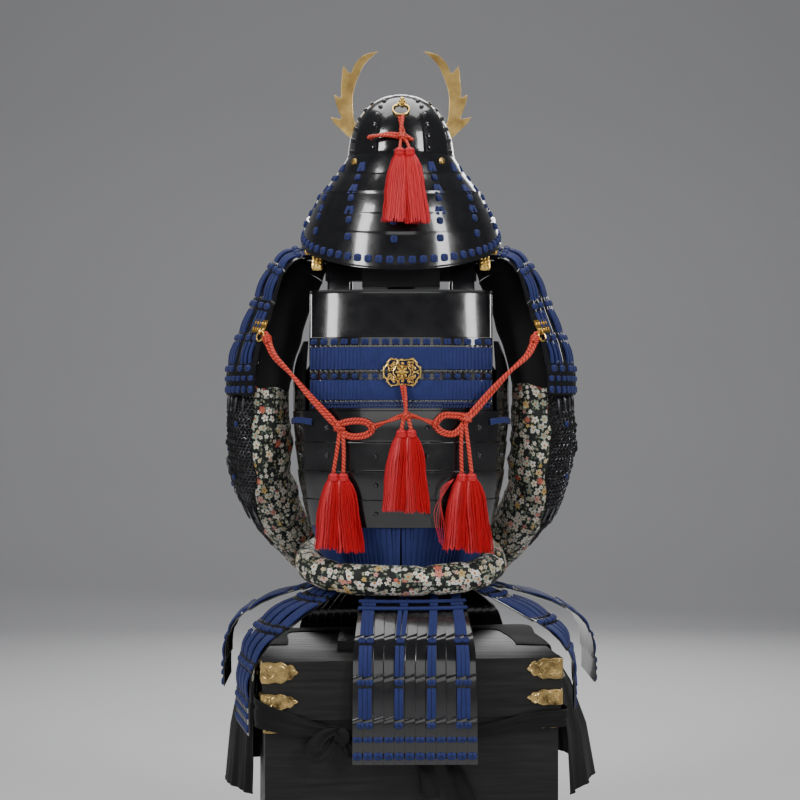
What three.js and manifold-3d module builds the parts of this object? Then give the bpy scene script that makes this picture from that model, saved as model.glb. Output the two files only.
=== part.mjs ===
// Samurai armour on its stand and armour box, in millimetres, +Z up.
// The wearer faces +Y, so the laced back faces -Y. The origin is on the floor under the box.
import * as THREE from 'three';
import Module from 'manifold-3d';

const wasm = await Module();
wasm.setup();

// Driving sizes
const SEAM = 0.4;
const PLATE = 2.2;
const BOX = { width: 580, depth: 450, height: 505, board: 14, yaw: 6 };
const LID = { overhang: 5, height: 115, board: 14, top: 520 };
const ROUND = 2.6;
const TORSO = [
  { z: 660, halfWidth: 150, halfDepth: 112 },
  { z: 771, halfWidth: 190, halfDepth: 130 },
  { z: 860, halfWidth: 210, halfDepth: 139 },
  { z: 985, halfWidth: 222, halfDepth: 143 },
  { z: 1100, halfWidth: 221, halfDepth: 141 },
  { z: 1160, halfWidth: 216, halfDepth: 138 },
  { z: 1254, halfWidth: 206, halfDepth: 122 },
];
const BACK = { halfWidth: 187, plateTop: 1254, plateFoot: 1157 };
const SASH = { halfWidth: 193, halfDepth: 152, radius: 31.5, backZ: 667, rise: 55 };
const WAIST = { halfWidth: 158, halfDepth: 117, z: 652 };
const BOWL = { halfWidth: 110, halfDepth: 124, rim: 1530, height: 138, squareness: 2.15, plate: 2.6 };
const NECK_GUARD = [
  { halfWidth: 108.2, halfDepth: 122.2, backZ: 1534, sideZ: 1534 },
  { halfWidth: 126, halfDepth: 142, backZ: 1490, sideZ: 1507 },
  { halfWidth: 163, halfDepth: 170, backZ: 1441, sideZ: 1460 },
  { halfWidth: 180, halfDepth: 188, backZ: 1396, sideZ: 1429 },
  { halfWidth: 193, halfDepth: 200, backZ: 1356, sideZ: 1404 },
  { halfWidth: 205, halfDepth: 212, backZ: 1287, sideZ: 1363 },
];
const STRAP = { inner: 104, outer: 150, arch: 102, plate: 4, frontZ: 1190, barHalfDepth: 15 };
const CORD = { radius: 5.5, strand: 3.6 };
const RING = { radius: 10, left: null, right: null };

// Finishes
const FINISH = {
  lacquer: { color: 0x0b0b0d, roughness: 0.25, metalness: 0.1 },
  lacing: { color: 0x1f2d66, roughness: 0.8, metalness: 0 },
  brass: { color: 0xa9853f, roughness: 0.35, metalness: 1 },
  gilt: { color: 0xf0bd3a, roughness: 0.25, metalness: 1 },
  cord: { color: 0xd8431f, roughness: 0.7, metalness: 0 },
  tassel: { color: 0xd3121f, roughness: 0.65, metalness: 0 },
  brocade: { color: 0x1b1c1a, roughness: 0.75, metalness: 0 },
  cloth: { color: 0x101013, roughness: 0.9, metalness: 0 },
  wood: { color: 0x121113, roughness: 0.5, metalness: 0 },
};

const armour = new THREE.Group();
const boxFrame = new THREE.Group();
boxFrame.rotation.z = THREE.MathUtils.degToRad(BOX.yaw);
armour.add(boxFrame);

function add(name, finish, geometry, parent = armour) {
  const mesh = new THREE.Mesh(geometry, new THREE.MeshStandardMaterial(FINISH[finish]));
  mesh.name = name;
  parent.add(mesh);
  return mesh;
}

// Helpers for numbers and tables
const point = (x, y, z) => new THREE.Vector3(x, y, z);
const degrees = (angle) => THREE.MathUtils.degToRad(angle);
const mix = (a, b, t) => a + (b - a) * t;
const power = (value, exponent) => Math.sign(value) * Math.abs(value) ** exponent;
const between = (value, low, high) => value > low && value < high;

// The value of one column of a table whose rows are spread evenly over 0 to 1, on a smooth curve.
function along(table, column, t) {
  const place = THREE.MathUtils.clamp(t, 0, 1) * (table.length - 1);
  const i = Math.min(Math.floor(place), table.length - 2);
  const f = place - i;
  const value = (k) => table[THREE.MathUtils.clamp(k, 0, table.length - 1)][column];
  const [a, b, c, d] = [value(i - 1), value(i), value(i + 1), value(i + 2)];
  return b + 0.5 * f * (c - a + f * (2 * a - 5 * b + 4 * c - d + f * (3 * (b - c) + d - a)));
}

// The value of one column of a table at a value of its key column, on straight lines.
function lookUp(table, key, column, at) {
  const last = table.length - 1;
  if (at <= table[0][key]) return table[0][column];
  for (let i = 0; i < last; i += 1) {
    const [low, high] = [table[i], table[i + 1]];
    if (at <= high[key]) return mix(low[column], high[column], (at - low[key]) / (high[key] - low[key]));
  }
  return table[last][column];
}

// Helpers for solids

// One closed body from points and faces: equal points are joined and its faces point out.
function closedBody(points, faces) {
  const seen = new Map();
  const kept = [];
  const slots = points.map((p) => {
    const key = [p.x, p.y, p.z].map((value) => Math.round(value * 1000)).join();
    if (!seen.has(key)) {
      seen.set(key, kept.length);
      kept.push(p);
    }
    return seen.get(key);
  });
  const index = [];
  let volume = 0;
  for (const face of faces) {
    const [a, b, c] = face.map((i) => slots[i]);
    if (a === b || b === c || c === a) continue;
    index.push([a, b, c]);
    volume += kept[a].dot(kept[b].clone().cross(kept[c]));
  }
  const turned = volume < 0 ? index.map(([a, b, c]) => [a, c, b]) : index;
  const geometry = new THREE.BufferGeometry();
  geometry.setAttribute('position', new THREE.Float32BufferAttribute(kept.flatMap((p) => [p.x, p.y, p.z]), 3));
  geometry.setIndex(turned.flat());
  geometry.computeVertexNormals();
  return geometry;
}

const steps = (count) => Array.from({ length: count + 1 }, (unused, i) => i / count);

// A wall: its inner sheet is surface(u, v, 0), and its outer one lies thickness and relief outside.
function wall({ us, vs, surface, thickness = PLATE, relief = () => 0, ring = false }) {
  const across = ring ? us.length - 1 : us.length;
  const sheet = (offset) => vs.flatMap((v) => us.slice(0, across).map((u) => surface(u, v, offset(u, v))));
  const points = [...sheet((u, v) => thickness + relief(u, v)), ...sheet(() => 0)];
  const inner = across * vs.length;
  const at = (i, j) => j * across + (i % across);
  const faces = [];
  const quad = (a, b, c, d) => faces.push([a, b, c], [a, c, d]);
  const [columns, rows] = [us.length - 1, vs.length - 1];
  for (let j = 0; j < rows; j += 1) {
    for (let i = 0; i < columns; i += 1) {
      const [a, b, c, d] = [at(i, j), at(i + 1, j), at(i + 1, j + 1), at(i, j + 1)];
      quad(a, b, c, d);
      quad(inner + a, inner + d, inner + c, inner + b);
    }
    if (!ring) {
      quad(at(0, j), at(0, j + 1), inner + at(0, j + 1), inner + at(0, j));
      quad(at(columns, j + 1), at(columns, j), inner + at(columns, j), inner + at(columns, j + 1));
    }
  }
  for (let i = 0; i < columns; i += 1) {
    quad(at(i + 1, 0), at(i, 0), inner + at(i, 0), inner + at(i + 1, 0));
    quad(at(i, rows), at(i + 1, rows), inner + at(i + 1, rows), inner + at(i, rows));
  }
  return closedBody(points, faces);
}

// The surface that lies offset outside a base surface, away from the points within it.
function offsetFrom(base, within) {
  const small = 0.002;
  return (u, v, offset) => {
    const p = base(u, v);
    const du = base(u + small, v).sub(base(u - small, v));
    const dv = base(u, v + small).sub(base(u, v - small));
    const normal = du.cross(dv).normalize();
    const out = p.clone().sub(within(u, v));
    return p.addScaledVector(normal, normal.dot(out) < 0 ? -offset : offset);
  };
}

// A solid tube through rings of points, closed by flat ends, or by itself where it is a ring.
function tube(rings, closed = false) {
  const sides = rings[0].length;
  const points = rings.flat();
  const faces = [];
  const last = closed ? rings.length : rings.length - 1;
  for (let j = 0; j < last; j += 1) {
    for (let i = 0; i < sides; i += 1) {
      const next = ((j + 1) % rings.length) * sides;
      const [a, b] = [j * sides + i, j * sides + ((i + 1) % sides)];
      const [c, d] = [next + ((i + 1) % sides), next + i];
      faces.push([a, b, c], [a, c, d]);
    }
  }
  if (!closed) {
    const end = (rings.length - 1) * sides;
    for (let i = 1; i < sides - 1; i += 1) {
      faces.push([0, i + 1, i], [end, end + i, end + i + 1]);
    }
  }
  return closedBody(points, faces);
}

// A round cord along a smooth route.
function cord(route, radius, count, sides = 8) {
  const section = new THREE.Shape(
    Array.from({ length: sides }, (unused, i) => {
      const angle = (2 * Math.PI * i) / sides;
      return new THREE.Vector2(radius * Math.cos(angle), radius * Math.sin(angle));
    }),
  );
  const extrudePath = new THREE.CatmullRomCurve3(route.map((p) => point(...p)));
  return new THREE.ExtrudeGeometry(section, { steps: count, bevelEnabled: false, extrudePath });
}

function solidOf(geometry) {
  const plain = geometry.index ? geometry.toNonIndexed() : geometry;
  const position = plain.getAttribute('position');
  const points = [];
  const faces = [];
  for (let i = 0; i < position.count; i += 1) {
    points.push(new THREE.Vector3().fromBufferAttribute(position, i));
    if (i % 3 === 2) faces.push([i - 2, i - 1, i]);
  }
  const body = closedBody(points, faces);
  return new wasm.Manifold(
    new wasm.Mesh({
      numProp: 3,
      vertProperties: new Float32Array(body.getAttribute('position').array),
      triVerts: new Uint32Array(body.index.array),
    }),
  );
}

function geometryOf(solid) {
  const mesh = solid.getMesh();
  const geometry = new THREE.BufferGeometry();
  geometry.setAttribute('position', new THREE.Float32BufferAttribute(mesh.vertProperties, 3));
  geometry.setIndex(new THREE.Uint32BufferAttribute(mesh.triVerts, 1));
  geometry.computeVertexNormals();
  return geometry;
}

const joined = (pieces) => geometryOf(pieces.map(solidOf).reduce((whole, piece) => whole.add(piece)));
const cutBy = (body, tool) => geometryOf(solidOf(body).subtract(solidOf(tool)));
const moved = (geometry, x, y, z) => geometry.translate(x, y, z);
const block = (width, depth, height, x, y, foot) =>
  moved(new THREE.BoxGeometry(width, depth, height), x, y, foot + height / 2);

function egg(radiusX, radiusY, radiusZ, centre, sides = 10, rows = 6) {
  const body = new THREE.SphereGeometry(1, sides, rows).rotateX(Math.PI / 2);
  return moved(body.scale(radiusX, radiusY, radiusZ), ...centre);
}

// Armour box, stand and thigh guard

function buildBox() {
  const body = block(BOX.width, BOX.depth, BOX.height, 0, 0, 0);
  const hollow = block(BOX.width - 2 * BOX.board, BOX.depth - 2 * BOX.board, BOX.height, 0, 0, BOX.board);
  add('box_body', 'wood', cutBy(body, hollow), boxFrame);
  const lidWidth = BOX.width + 2 * LID.overhang;
  const lidDepth = BOX.depth + 2 * LID.overhang;
  const lid = block(lidWidth, lidDepth, LID.height, 0, 0, LID.top - LID.height);
  const room = block(
    BOX.width + 2 * SEAM,
    BOX.depth + 2 * SEAM,
    LID.height,
    0,
    0,
    LID.top - LID.height - LID.board,
  );
  add('box_lid', 'wood', cutBy(lid, room), boxFrame);
  const corner = { length: 72, height: 44, plate: 2 };
  for (const [side, sideName] of [[-1, 'left'], [1, 'right']]) {
    for (const [end, endName] of [[-1, 'back'], [1, 'front']]) {
      const leaf = new THREE.Shape([
        new THREE.Vector2(0, 0),
        new THREE.Vector2(0, -corner.height),
        new THREE.Vector2(14, -corner.height * 0.72),
        new THREE.Vector2(30, -corner.height * 0.8),
        new THREE.Vector2(42, -corner.height * 0.5),
        new THREE.Vector2(60, -corner.height * 0.62),
        new THREE.Vector2(corner.length, -corner.height * 0.2),
        new THREE.Vector2(corner.length - 6, 0),
      ]);
      const face = new THREE.ExtrudeGeometry(leaf, { depth: corner.plate, bevelEnabled: false });
      face.rotateX(Math.PI / 2);
      const flank = face.clone().rotateZ(Math.PI / 2);
      const both = joined([face.translate(0, corner.plate, 0), flank]);
      both.translate(-SEAM - corner.plate, -SEAM - corner.plate, 0);
      const mesh = add(`box_corner_${endName}_${sideName}`, 'brass', both, boxFrame);
      mesh.position.set((side * lidWidth) / 2, (end * lidDepth) / 2, LID.top - 1);
      mesh.scale.set(-side, -end, 1);
    }
  }
}

function buildStand() {
  const foot = LID.top + SEAM;
  const barTop = strapPoint(1, 0, strapShare(STRAP.barHalfDepth + 3), 0).z - SEAM;
  const bar = { halfLength: 158, depth: 2 * STRAP.barHalfDepth, top: barTop, height: 40 };
  const neck = { width: 160, depth: 110, foot: 1262, top: 1300 };
  const head = { radius: 62, top: BOWL.rim + BOWL.height - BOWL.plate - SEAM, height: 60 };
  const profile = [[0, 0], [40, 0], [head.radius, 14], [head.radius * 0.86, 38], [head.radius * 0.5, 54], [0, 60]];
  const dome = new THREE.LatheGeometry(profile.map(([x, y]) => new THREE.Vector2(x, y)), 16);
  dome.rotateX(Math.PI / 2);
  dome.translate(0, 0, head.top - head.height);
  add(
    'stand',
    'wood',
    joined([
      block(260, 200, 18, 0, 0, foot),
      block(56, 56, head.top - head.height - foot + 2, 0, 0, foot),
      block(2 * bar.halfLength, bar.depth, bar.height, 0, 0, bar.top - bar.height),
      block(neck.width, neck.depth, neck.top - neck.foot, 0, -18, neck.foot),
      dome,
    ]),
  );
}

// A sheet that falls from a top line to a bottom line: share is how far out it has come at each height.
function fallingSheet({ top, bottom, fall }) {
  return (u, v) => {
    const share = along(fall, 'share', v);
    const p = top(u).lerp(bottom(u), share);
    p.z = along(fall, 'z', v);
    return p;
  };
}

function buildThighGuard() {
  const rim = [
    { lidX: -236, lidY: -34, edgeX: -298, edgeY: -40, hemX: -305, hemY: -58, hemZ: 216 },
    { lidX: -238, lidY: 30, edgeX: -305, edgeY: 30, hemX: -362, hemY: 30, hemZ: 222 },
    { lidX: -246, lidY: 120, edgeX: -320, edgeY: 130, hemX: -366, hemY: 150, hemZ: 216 },
    { lidX: -230, lidY: 160, edgeX: -326, edgeY: 208, hemX: -346, hemY: 262, hemZ: 224 },
    { lidX: -130, lidY: 172, edgeX: -160, edgeY: 220, hemX: -175, hemY: 284, hemZ: 218 },
    { lidX: 0, lidY: 184, edgeX: 0, edgeY: 237, hemX: 0, hemY: 296, hemZ: 226 },
    { lidX: 130, lidY: 196, edgeX: 150, edgeY: 252, hemX: 168, hemY: 312, hemZ: 218 },
    { lidX: 204, lidY: 200, edgeX: 279, edgeY: 273, hemX: 322, hemY: 322, hemZ: 236 },
    { lidX: 226, lidY: 130, edgeX: 290, edgeY: 150, hemX: 384, hemY: 190, hemZ: 238 },
    { lidX: 238, lidY: 40, edgeX: 303, edgeY: 40, hemX: 402, hemY: 46, hemZ: 232 },
    { lidX: 240, lidY: -30, edgeX: 309, edgeY: -40, hemX: 344, hemY: -62, hemZ: 216 },
  ];
  const drop = [
    { stage: 0, share: 0, fallen: 0 },
    { stage: 1, share: 0, fallen: 0 },
    { stage: 1, share: 0.06, fallen: 0.03 },
    { stage: 1, share: 0.2, fallen: 0.1 },
    { stage: 1, share: 0.55, fallen: 0.3 },
    { stage: 1, share: 0.85, fallen: 0.62 },
    { stage: 1, share: 1, fallen: 1 },
  ];
  const lidZ = LID.top + SEAM;
  const ripple = { count: 9, height: 7 };
  const base = (u, v) => {
    const stage = THREE.MathUtils.clamp(lookUp(drop.map((row, i) => ({ ...row, v: i / 6 })), 'v', 'stage', v), 0, 1);
    const rows = drop.map((row, i) => ({ ...row, v: i / 6 }));
    const share = lookUp(rows, 'v', 'share', v);
    const fallen = lookUp(rows, 'v', 'fallen', v);
    const lid = point(along(rim, 'lidX', u), along(rim, 'lidY', u), lidZ);
    const edge = point(along(rim, 'edgeX', u), along(rim, 'edgeY', u), lidZ);
    const hem = point(along(rim, 'hemX', u), along(rim, 'hemY', u), along(rim, 'hemZ', u));
    const p = stage < 1 ? lid.lerp(edge, stage) : edge.clone().lerp(hem, share);
    if (stage >= 1) p.z = mix(lidZ, hem.z, fallen);
    const wave = ripple.height * fallen * Math.sin(ripple.count * 2 * Math.PI * u + 2 * u * u);
    p.x += wave * (Math.abs(p.y) < 170 ? Math.sign(p.x) : 0);
    p.y += wave * (Math.abs(p.y) < 170 ? 0 : 1);
    return p;
  };
  const within = (u, v) => point(along(rim, 'lidX', u), along(rim, 'lidY', u), 380 - 200 * v);
  add(
    'thigh_guard',
    'cloth',
    wall({ us: steps(24), vs: steps(6), surface: offsetFrom(base, within), thickness: 2 }),
  );
  const tie = [
    { x: -295, y: -62, z: 428, half: 26 },
    { x: -282.5, y: -180, z: 424, half: 27 },
    { x: -276, y: -264, z: 420, half: 27 },
    { x: -190, y: -256, z: 392, half: 18 },
    { x: -100, y: -246.5, z: 376, half: 11 },
    { x: 30, y: -233, z: 368, half: 9 },
    { x: 154, y: -220, z: 378, half: 11 },
    { x: 250, y: -210, z: 396, half: 15 },
    { x: 324, y: -203, z: 402, half: 17 },
    { x: 317, y: -140, z: 404, half: 18 },
    { x: 309, y: -62, z: 404, half: 18 },
  ];
  const bandBase = (u, v) => {
    const p = point(along(tie, 'x', u), along(tie, 'y', u), along(tie, 'z', u));
    p.z += along(tie, 'half', u) * (1 - 2 * v);
    return p;
  };
  const inside = (u) => point(0, 0, along(tie, 'z', u));
  add(
    'thigh_guard_tie',
    'cloth',
    joined([
      wall({ us: steps(18), vs: steps(1), surface: offsetFrom(bandBase, inside), thickness: 2.4 }),
      egg(17, 7, 13, [-118, -252, 376], 8, 5),
      cord([[-122, -254, 368], [-140, -257, 354], [-162, -260, 342]], 5, 3, 5),
      cord([[-112, -254, 368], [-104, -256, 354], [-100, -257, 334]], 5, 3, 5),
    ]),
  );
}

// Cuirass

// The point of the torso at an angle from the middle of the back, at a height and an offset outside.
function torsoPoint(angle, z, offset) {
  const halfWidth = lookUp(TORSO, 'z', 'halfWidth', z) + offset;
  const halfDepth = lookUp(TORSO, 'z', 'halfDepth', z) + offset;
  const turn = degrees(angle);
  return point(
    halfWidth * power(Math.sin(turn), 2 / ROUND),
    -halfDepth * power(Math.cos(turn), 2 / ROUND),
    z,
  );
}

// The point of the back at a place across it.
function backPoint(x, z, offset) {
  const halfWidth = lookUp(TORSO, 'z', 'halfWidth', z) + offset;
  const halfDepth = lookUp(TORSO, 'z', 'halfDepth', z) + offset;
  return point(x, -halfDepth * (1 - Math.abs(x / halfWidth) ** ROUND) ** (1 / ROUND), z);
}

// The shoulder strap arches from the top of the back plate to the top of the front shell.
function strapPoint(side, u, v, offset) {
  const x = side * mix(STRAP.inner, STRAP.outer, u);
  const y = mix(backPoint(x, BACK.plateTop, 2).y, -backPoint(x, STRAP.frontZ, 0).y, v);
  const rise = STRAP.arch * Math.sin(Math.PI * v) ** 0.8;
  const z = mix(BACK.plateTop + SEAM, STRAP.frontZ + SEAM, v) + rise;
  const turn = Math.PI * v;
  return point(x, y - offset * Math.cos(turn), z + offset * Math.sin(turn));
}

// How far along the strap its inner edge passes a place in front of the shoulders.
function strapShare(y) {
  const [back, front] = [strapPoint(1, 0, 0, 0).y, strapPoint(1, 0, 1, 0).y];
  return (y - back) / (front - back);
}

function buildCuirass() {
  const across = (u) => mix(-BACK.halfWidth, BACK.halfWidth, u);
  add(
    'back_top_plate',
    'lacquer',
    wall({
      us: steps(12),
      vs: [0, 0.94, 1],
      surface: (u, v, offset) => {
        const z = mix(BACK.plateFoot + SEAM, BACK.plateTop, v);
        return backPoint(across(u), z, offset + 2);
      },
      relief: (u, v) => (v > 0.97 ? 2 : 0),
    }),
  );
  const ribs = 18;
  const knots = 18;
  const laced = [
    { name: 'back_laced_lame_1', top: 1157, foot: 1083, knotTop: 1155, knotFoot: 1140, bandTop: 1131, bandFoot: 1091 },
    { name: 'back_laced_lame_2', top: 1083, foot: 1009, knotTop: 1083, knotFoot: 1071, bandTop: 1069, bandFoot: 1030 },
  ];
  for (const lame of laced) {
    const heights = [
      { z: lame.foot, raise: 0, kind: 'plain' },
      { z: lame.bandFoot, raise: 3.2, kind: 'rib' },
      { z: lame.bandTop, raise: 3.2, kind: 'rib' },
      { z: lame.knotFoot, raise: 0, kind: 'plain' },
      { z: mix(lame.knotFoot, lame.knotTop, 0.5), raise: 3, kind: 'knot' },
      { z: lame.top - SEAM, raise: 0, kind: 'plain' },
    ];
    const rows = heights.map((row, i) => ({ ...row, v: i / (heights.length - 1) }));
    const swell = { rib: ribs, knot: knots };
    add(
      lame.name,
      'lacing',
      wall({
        us: steps(2 * ribs),
        vs: rows.map((row) => row.v),
        surface: (u, v, offset) => backPoint(across(u), lookUp(rows, 'v', 'z', v), offset + 2),
        relief: (u, v) => {
          const row = rows[Math.round(v * (rows.length - 1))];
          if (row.kind === 'plain') return 0;
          return row.raise * (0.45 + 0.55 * Math.abs(Math.sin(Math.PI * swell[row.kind] * u)));
        },
      }),
    );
  }
  const lames = [
    { top: 1009, foot: 945 },
    { top: 945, foot: 886 },
    { top: 886, foot: 828 },
    { top: 828, foot: 771 },
  ];
  const shellRows = lames.flatMap((lame) => [
    { z: lame.top - SEAM, raise: 1.8 },
    { z: lame.foot + 2, raise: 0.2 },
  ]);
  const shellSheet = (rows, from, to) => (u, v, offset) =>
    torsoPoint(mix(from, to, u), rows[Math.round(v * (rows.length - 1))].z, offset);
  add(
    'back_riveted_shell',
    'lacquer',
    wall({
      us: steps(14),
      vs: steps(shellRows.length - 1),
      surface: shellSheet(shellRows, -88, 88),
      relief: (u, v) => shellRows[Math.round(v * (shellRows.length - 1))].raise,
    }),
  );
  const flank = [
    { z: 1009, from: 57 },
    { z: 1060, from: 57 },
    { z: 1110, from: 57 },
    { z: 1150, from: 57 },
  ];
  const frontRows = [
    { z: 1190, half: 40 },
    { z: 1120, half: 52 },
    { z: 1060, half: 78 },
    { z: 985, half: 91 },
    { z: 880, half: 91 },
    { z: 785, half: 91 },
  ];
  add(
    'front_shell',
    'lacquer',
    wall({
      us: steps(12),
      vs: steps(frontRows.length - 1),
      surface: (u, v, offset) => {
        const row = frontRows[Math.round(v * (frontRows.length - 1))];
        return torsoPoint(180 + row.half * (1 - 2 * u), row.z, offset);
      },
    }),
  );
  for (const [side, sideName] of [[-1, 'left'], [1, 'right']]) {
    add(
      `back_flank_${sideName}`,
      'lacquer',
      wall({
        us: steps(4),
        vs: steps(flank.length - 1),
        surface: (u, v, offset) => {
          const row = flank[Math.round(v * (flank.length - 1))];
          const reach = lookUp([{ z: 1009, to: 88 }, { z: 1060, to: 88 }, { z: 1150, to: 62 }], 'z', 'to', row.z);
          return torsoPoint(side * mix(row.from, reach, u), row.z + SEAM, offset);
        },
      }),
    );
    add(
      `shoulder_strap_${sideName}`,
      'lacquer',
      wall({
        us: steps(2),
        vs: steps(10),
        surface: (u, v, offset) => strapPoint(side, u, v, offset),
        thickness: STRAP.plate,
      }),
    );
    const tieRoute = steps(4).map((t) => torsoPoint(side * mix(48, 84, t), 985 + 4 * Math.sin(3 * t), 5.5));
    add(
      `side_tie_${sideName}`,
      'lacing',
      tube(
        tieRoute.map((p) => {
          const out = p.clone().setZ(0).normalize();
          const corner = (o, z) => p.clone().addScaledVector(out, o).add(point(0, 0, z));
          return [corner(-2, -6), corner(1.5, -6), corner(1.5, 6), corner(-2, 6)];
        }),
      ),
    );
  }
}

// The openwork fitting in the middle of the laced back
function buildBackFitting() {
  const size = { width: 72, height: 54, plate: 2.5, x: 2, z: 1086, y: -151 };
  const outline = new THREE.Shape();
  const lobes = 6;
  for (let i = 0; i < 24; i += 1) {
    const angle = (2 * Math.PI * i) / 24;
    const swell = 1 + 0.07 * Math.cos(lobes * angle);
    const x = 0.5 * size.width * swell * power(Math.cos(angle), 0.7);
    const z = 0.5 * size.height * swell * power(Math.sin(angle), 0.7);
    if (i === 0) outline.moveTo(x, z);
    else outline.lineTo(x, z);
  }
  const plate = new THREE.ExtrudeGeometry(outline, { depth: size.plate, bevelEnabled: false });
  plate.rotateX(Math.PI / 2).translate(size.x, size.y, size.z);
  add('back_fitting', 'gilt', joined([plate, egg(12, 7, 10, [size.x, size.y - 3, size.z], 8, 5)]));
}

// Lacing at the waist, sash and skirt panels

function buildWaist() {
  const ribs = { back: 17, front: 8 };
  const swell = 4.9;
  const inside = (column, z) => lookUp(TORSO, 'z', column, z) - swell - SEAM;
  const rowsFor = (pinch, top) => [
    { z: WAIST.z, halfWidth: WAIST.halfWidth, halfDepth: WAIST.halfDepth, v: 0 },
    { z: pinch, halfWidth: WAIST.halfWidth + 1, halfDepth: WAIST.halfDepth + 1, v: 0.5 },
    { z: top, halfWidth: inside('halfWidth', top), halfDepth: inside('halfDepth', top), v: 1 },
  ];
  const sheet = (from, to, rows) => (u, v, offset) => {
    const turn = degrees(mix(from, to, u));
    const z = lookUp(rows, 'v', 'z', v);
    return point(
      (lookUp(rows, 'z', 'halfWidth', z) + offset) * power(Math.sin(turn), 2 / ROUND),
      -(lookUp(rows, 'z', 'halfDepth', z) + offset) * power(Math.cos(turn), 2 / ROUND),
      z,
    );
  };
  const ribbed = (count) => (u) => 1.6 * Math.abs(Math.sin(Math.PI * count * u)) - 0.8;
  add(
    'waist_lacing_back',
    'lacing',
    wall({
      us: steps(2 * ribs.back),
      vs: steps(2),
      surface: sheet(-89, 89, rowsFor(694, 779)),
      relief: ribbed(ribs.back),
      thickness: 2.6,
    }),
  );
  add(
    'waist_lacing_front',
    'lacing',
    wall({
      us: steps(2 * ribs.front),
      vs: steps(2),
      surface: sheet(92, 268, rowsFor(758, 792)),
      relief: ribbed(ribs.front),
      thickness: 2.6,
    }),
  );
}

function buildSash() {
  const creases = [
    { at: 0.03, depth: 2.4, width: 0.012 },
    { at: 0.11, depth: 1.6, width: 0.018 },
    { at: 0.2, depth: 2.6, width: 0.014 },
    { at: 0.29, depth: 1.8, width: 0.02 },
    { at: 0.42, depth: 2.2, width: 0.015 },
    { at: 0.58, depth: 2.0, width: 0.016 },
    { at: 0.7, depth: 2.7, width: 0.013 },
    { at: 0.79, depth: 1.7, width: 0.02 },
    { at: 0.9, depth: 2.3, width: 0.015 },
    { at: 0.97, depth: 1.5, width: 0.012 },
  ];
  const sides = 8;
  const count = 36;
  const rings = steps(count).slice(0, count).map((t) => {
    const turn = 2 * Math.PI * t;
    const centre = point(
      SASH.halfWidth * power(Math.sin(turn), 2 / ROUND),
      -SASH.halfDepth * power(Math.cos(turn), 2 / ROUND),
      SASH.backZ + (SASH.rise * (1 - Math.cos(turn))) / 2,
    );
    const out = point(Math.sin(turn) / SASH.halfWidth, -Math.cos(turn) / SASH.halfDepth, 0).normalize();
    const pinch = creases.reduce(
      (sum, crease) => sum + crease.depth * Math.exp(-(((t - crease.at) / crease.width) ** 2)),
      0,
    );
    const radius = SASH.radius - pinch;
    return Array.from({ length: sides }, (unused, i) => {
      const angle = (2 * Math.PI * (i + 0.5)) / sides;
      const p = centre.clone().addScaledVector(out, 0.92 * radius * Math.cos(angle));
      return p.add(point(0, 0, radius * Math.sin(angle)));
    });
  });
  const knot = { y: SASH.halfDepth, z: SASH.backZ + SASH.rise };
  add(
    'sash',
    'brocade',
    joined([
      tube(rings, true),
      egg(34, 26, 40, [0, knot.y + 18, knot.z - 2], 8, 6),
    ]),
  );
}

// Each panel hangs from an arc of the waist (angles from the middle of the back) to a straight foot.
const PANELS = [
  { name: 'skirt_back', from: -24, to: 45, x1: -95, y1: -266, x2: 149, y2: -262, foot: 322, fall: 'steep', columns: 16, lacing: 4 },
  { name: 'skirt_back_left', from: -38, to: -90, x1: -296, y1: -238, x2: -334, y2: -76, foot: 372, fall: 'spread', columns: 9, lacing: 3 },
  { name: 'skirt_side_left', from: -94, to: -136, x1: -368, y1: -22, x2: -372, y2: 176, foot: 432, fall: 'spread', columns: 9, lacing: 3 },
  { name: 'skirt_front_left', from: -140, to: -178, x1: -240, y1: 306, x2: -8, y2: 320, foot: 330, fall: 'steep', columns: 6, lacing: 2 },
  { name: 'skirt_front_right', from: 178, to: 140, x1: 8, y1: 322, x2: 244, y2: 338, foot: 330, fall: 'steep', columns: 6, lacing: 2 },
  { name: 'skirt_side_right', from: 136, to: 94, x1: 400, y1: 196, x2: 404, y2: -14, foot: 440, fall: 'spread', columns: 9, lacing: 3 },
  { name: 'skirt_back_right', from: 90, to: 54, x1: 352, y1: -78, x2: 340, y2: -210, foot: 420, fall: 'spread', columns: 9, lacing: 3 },
];
const FALLS = {
  steep: [
    { share: 0, drop: 0 },
    { share: 0.12, drop: 0.06 },
    { share: 0.56, drop: 0.2 },
    { share: 0.88, drop: 0.36 },
    { share: 0.95, drop: 0.56 },
    { share: 0.98, drop: 0.77 },
    { share: 1, drop: 1 },
  ],
  spread: [
    { share: 0, drop: 0 },
    { share: 0.12, drop: 0.06 },
    { share: 0.6, drop: 0.2 },
    { share: 0.88, drop: 0.38 },
    { share: 0.97, drop: 0.58 },
    { share: 0.99, drop: 0.79 },
    { share: 1, drop: 1 },
  ],
};
const LAMES_PER_PANEL = 5;

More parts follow.
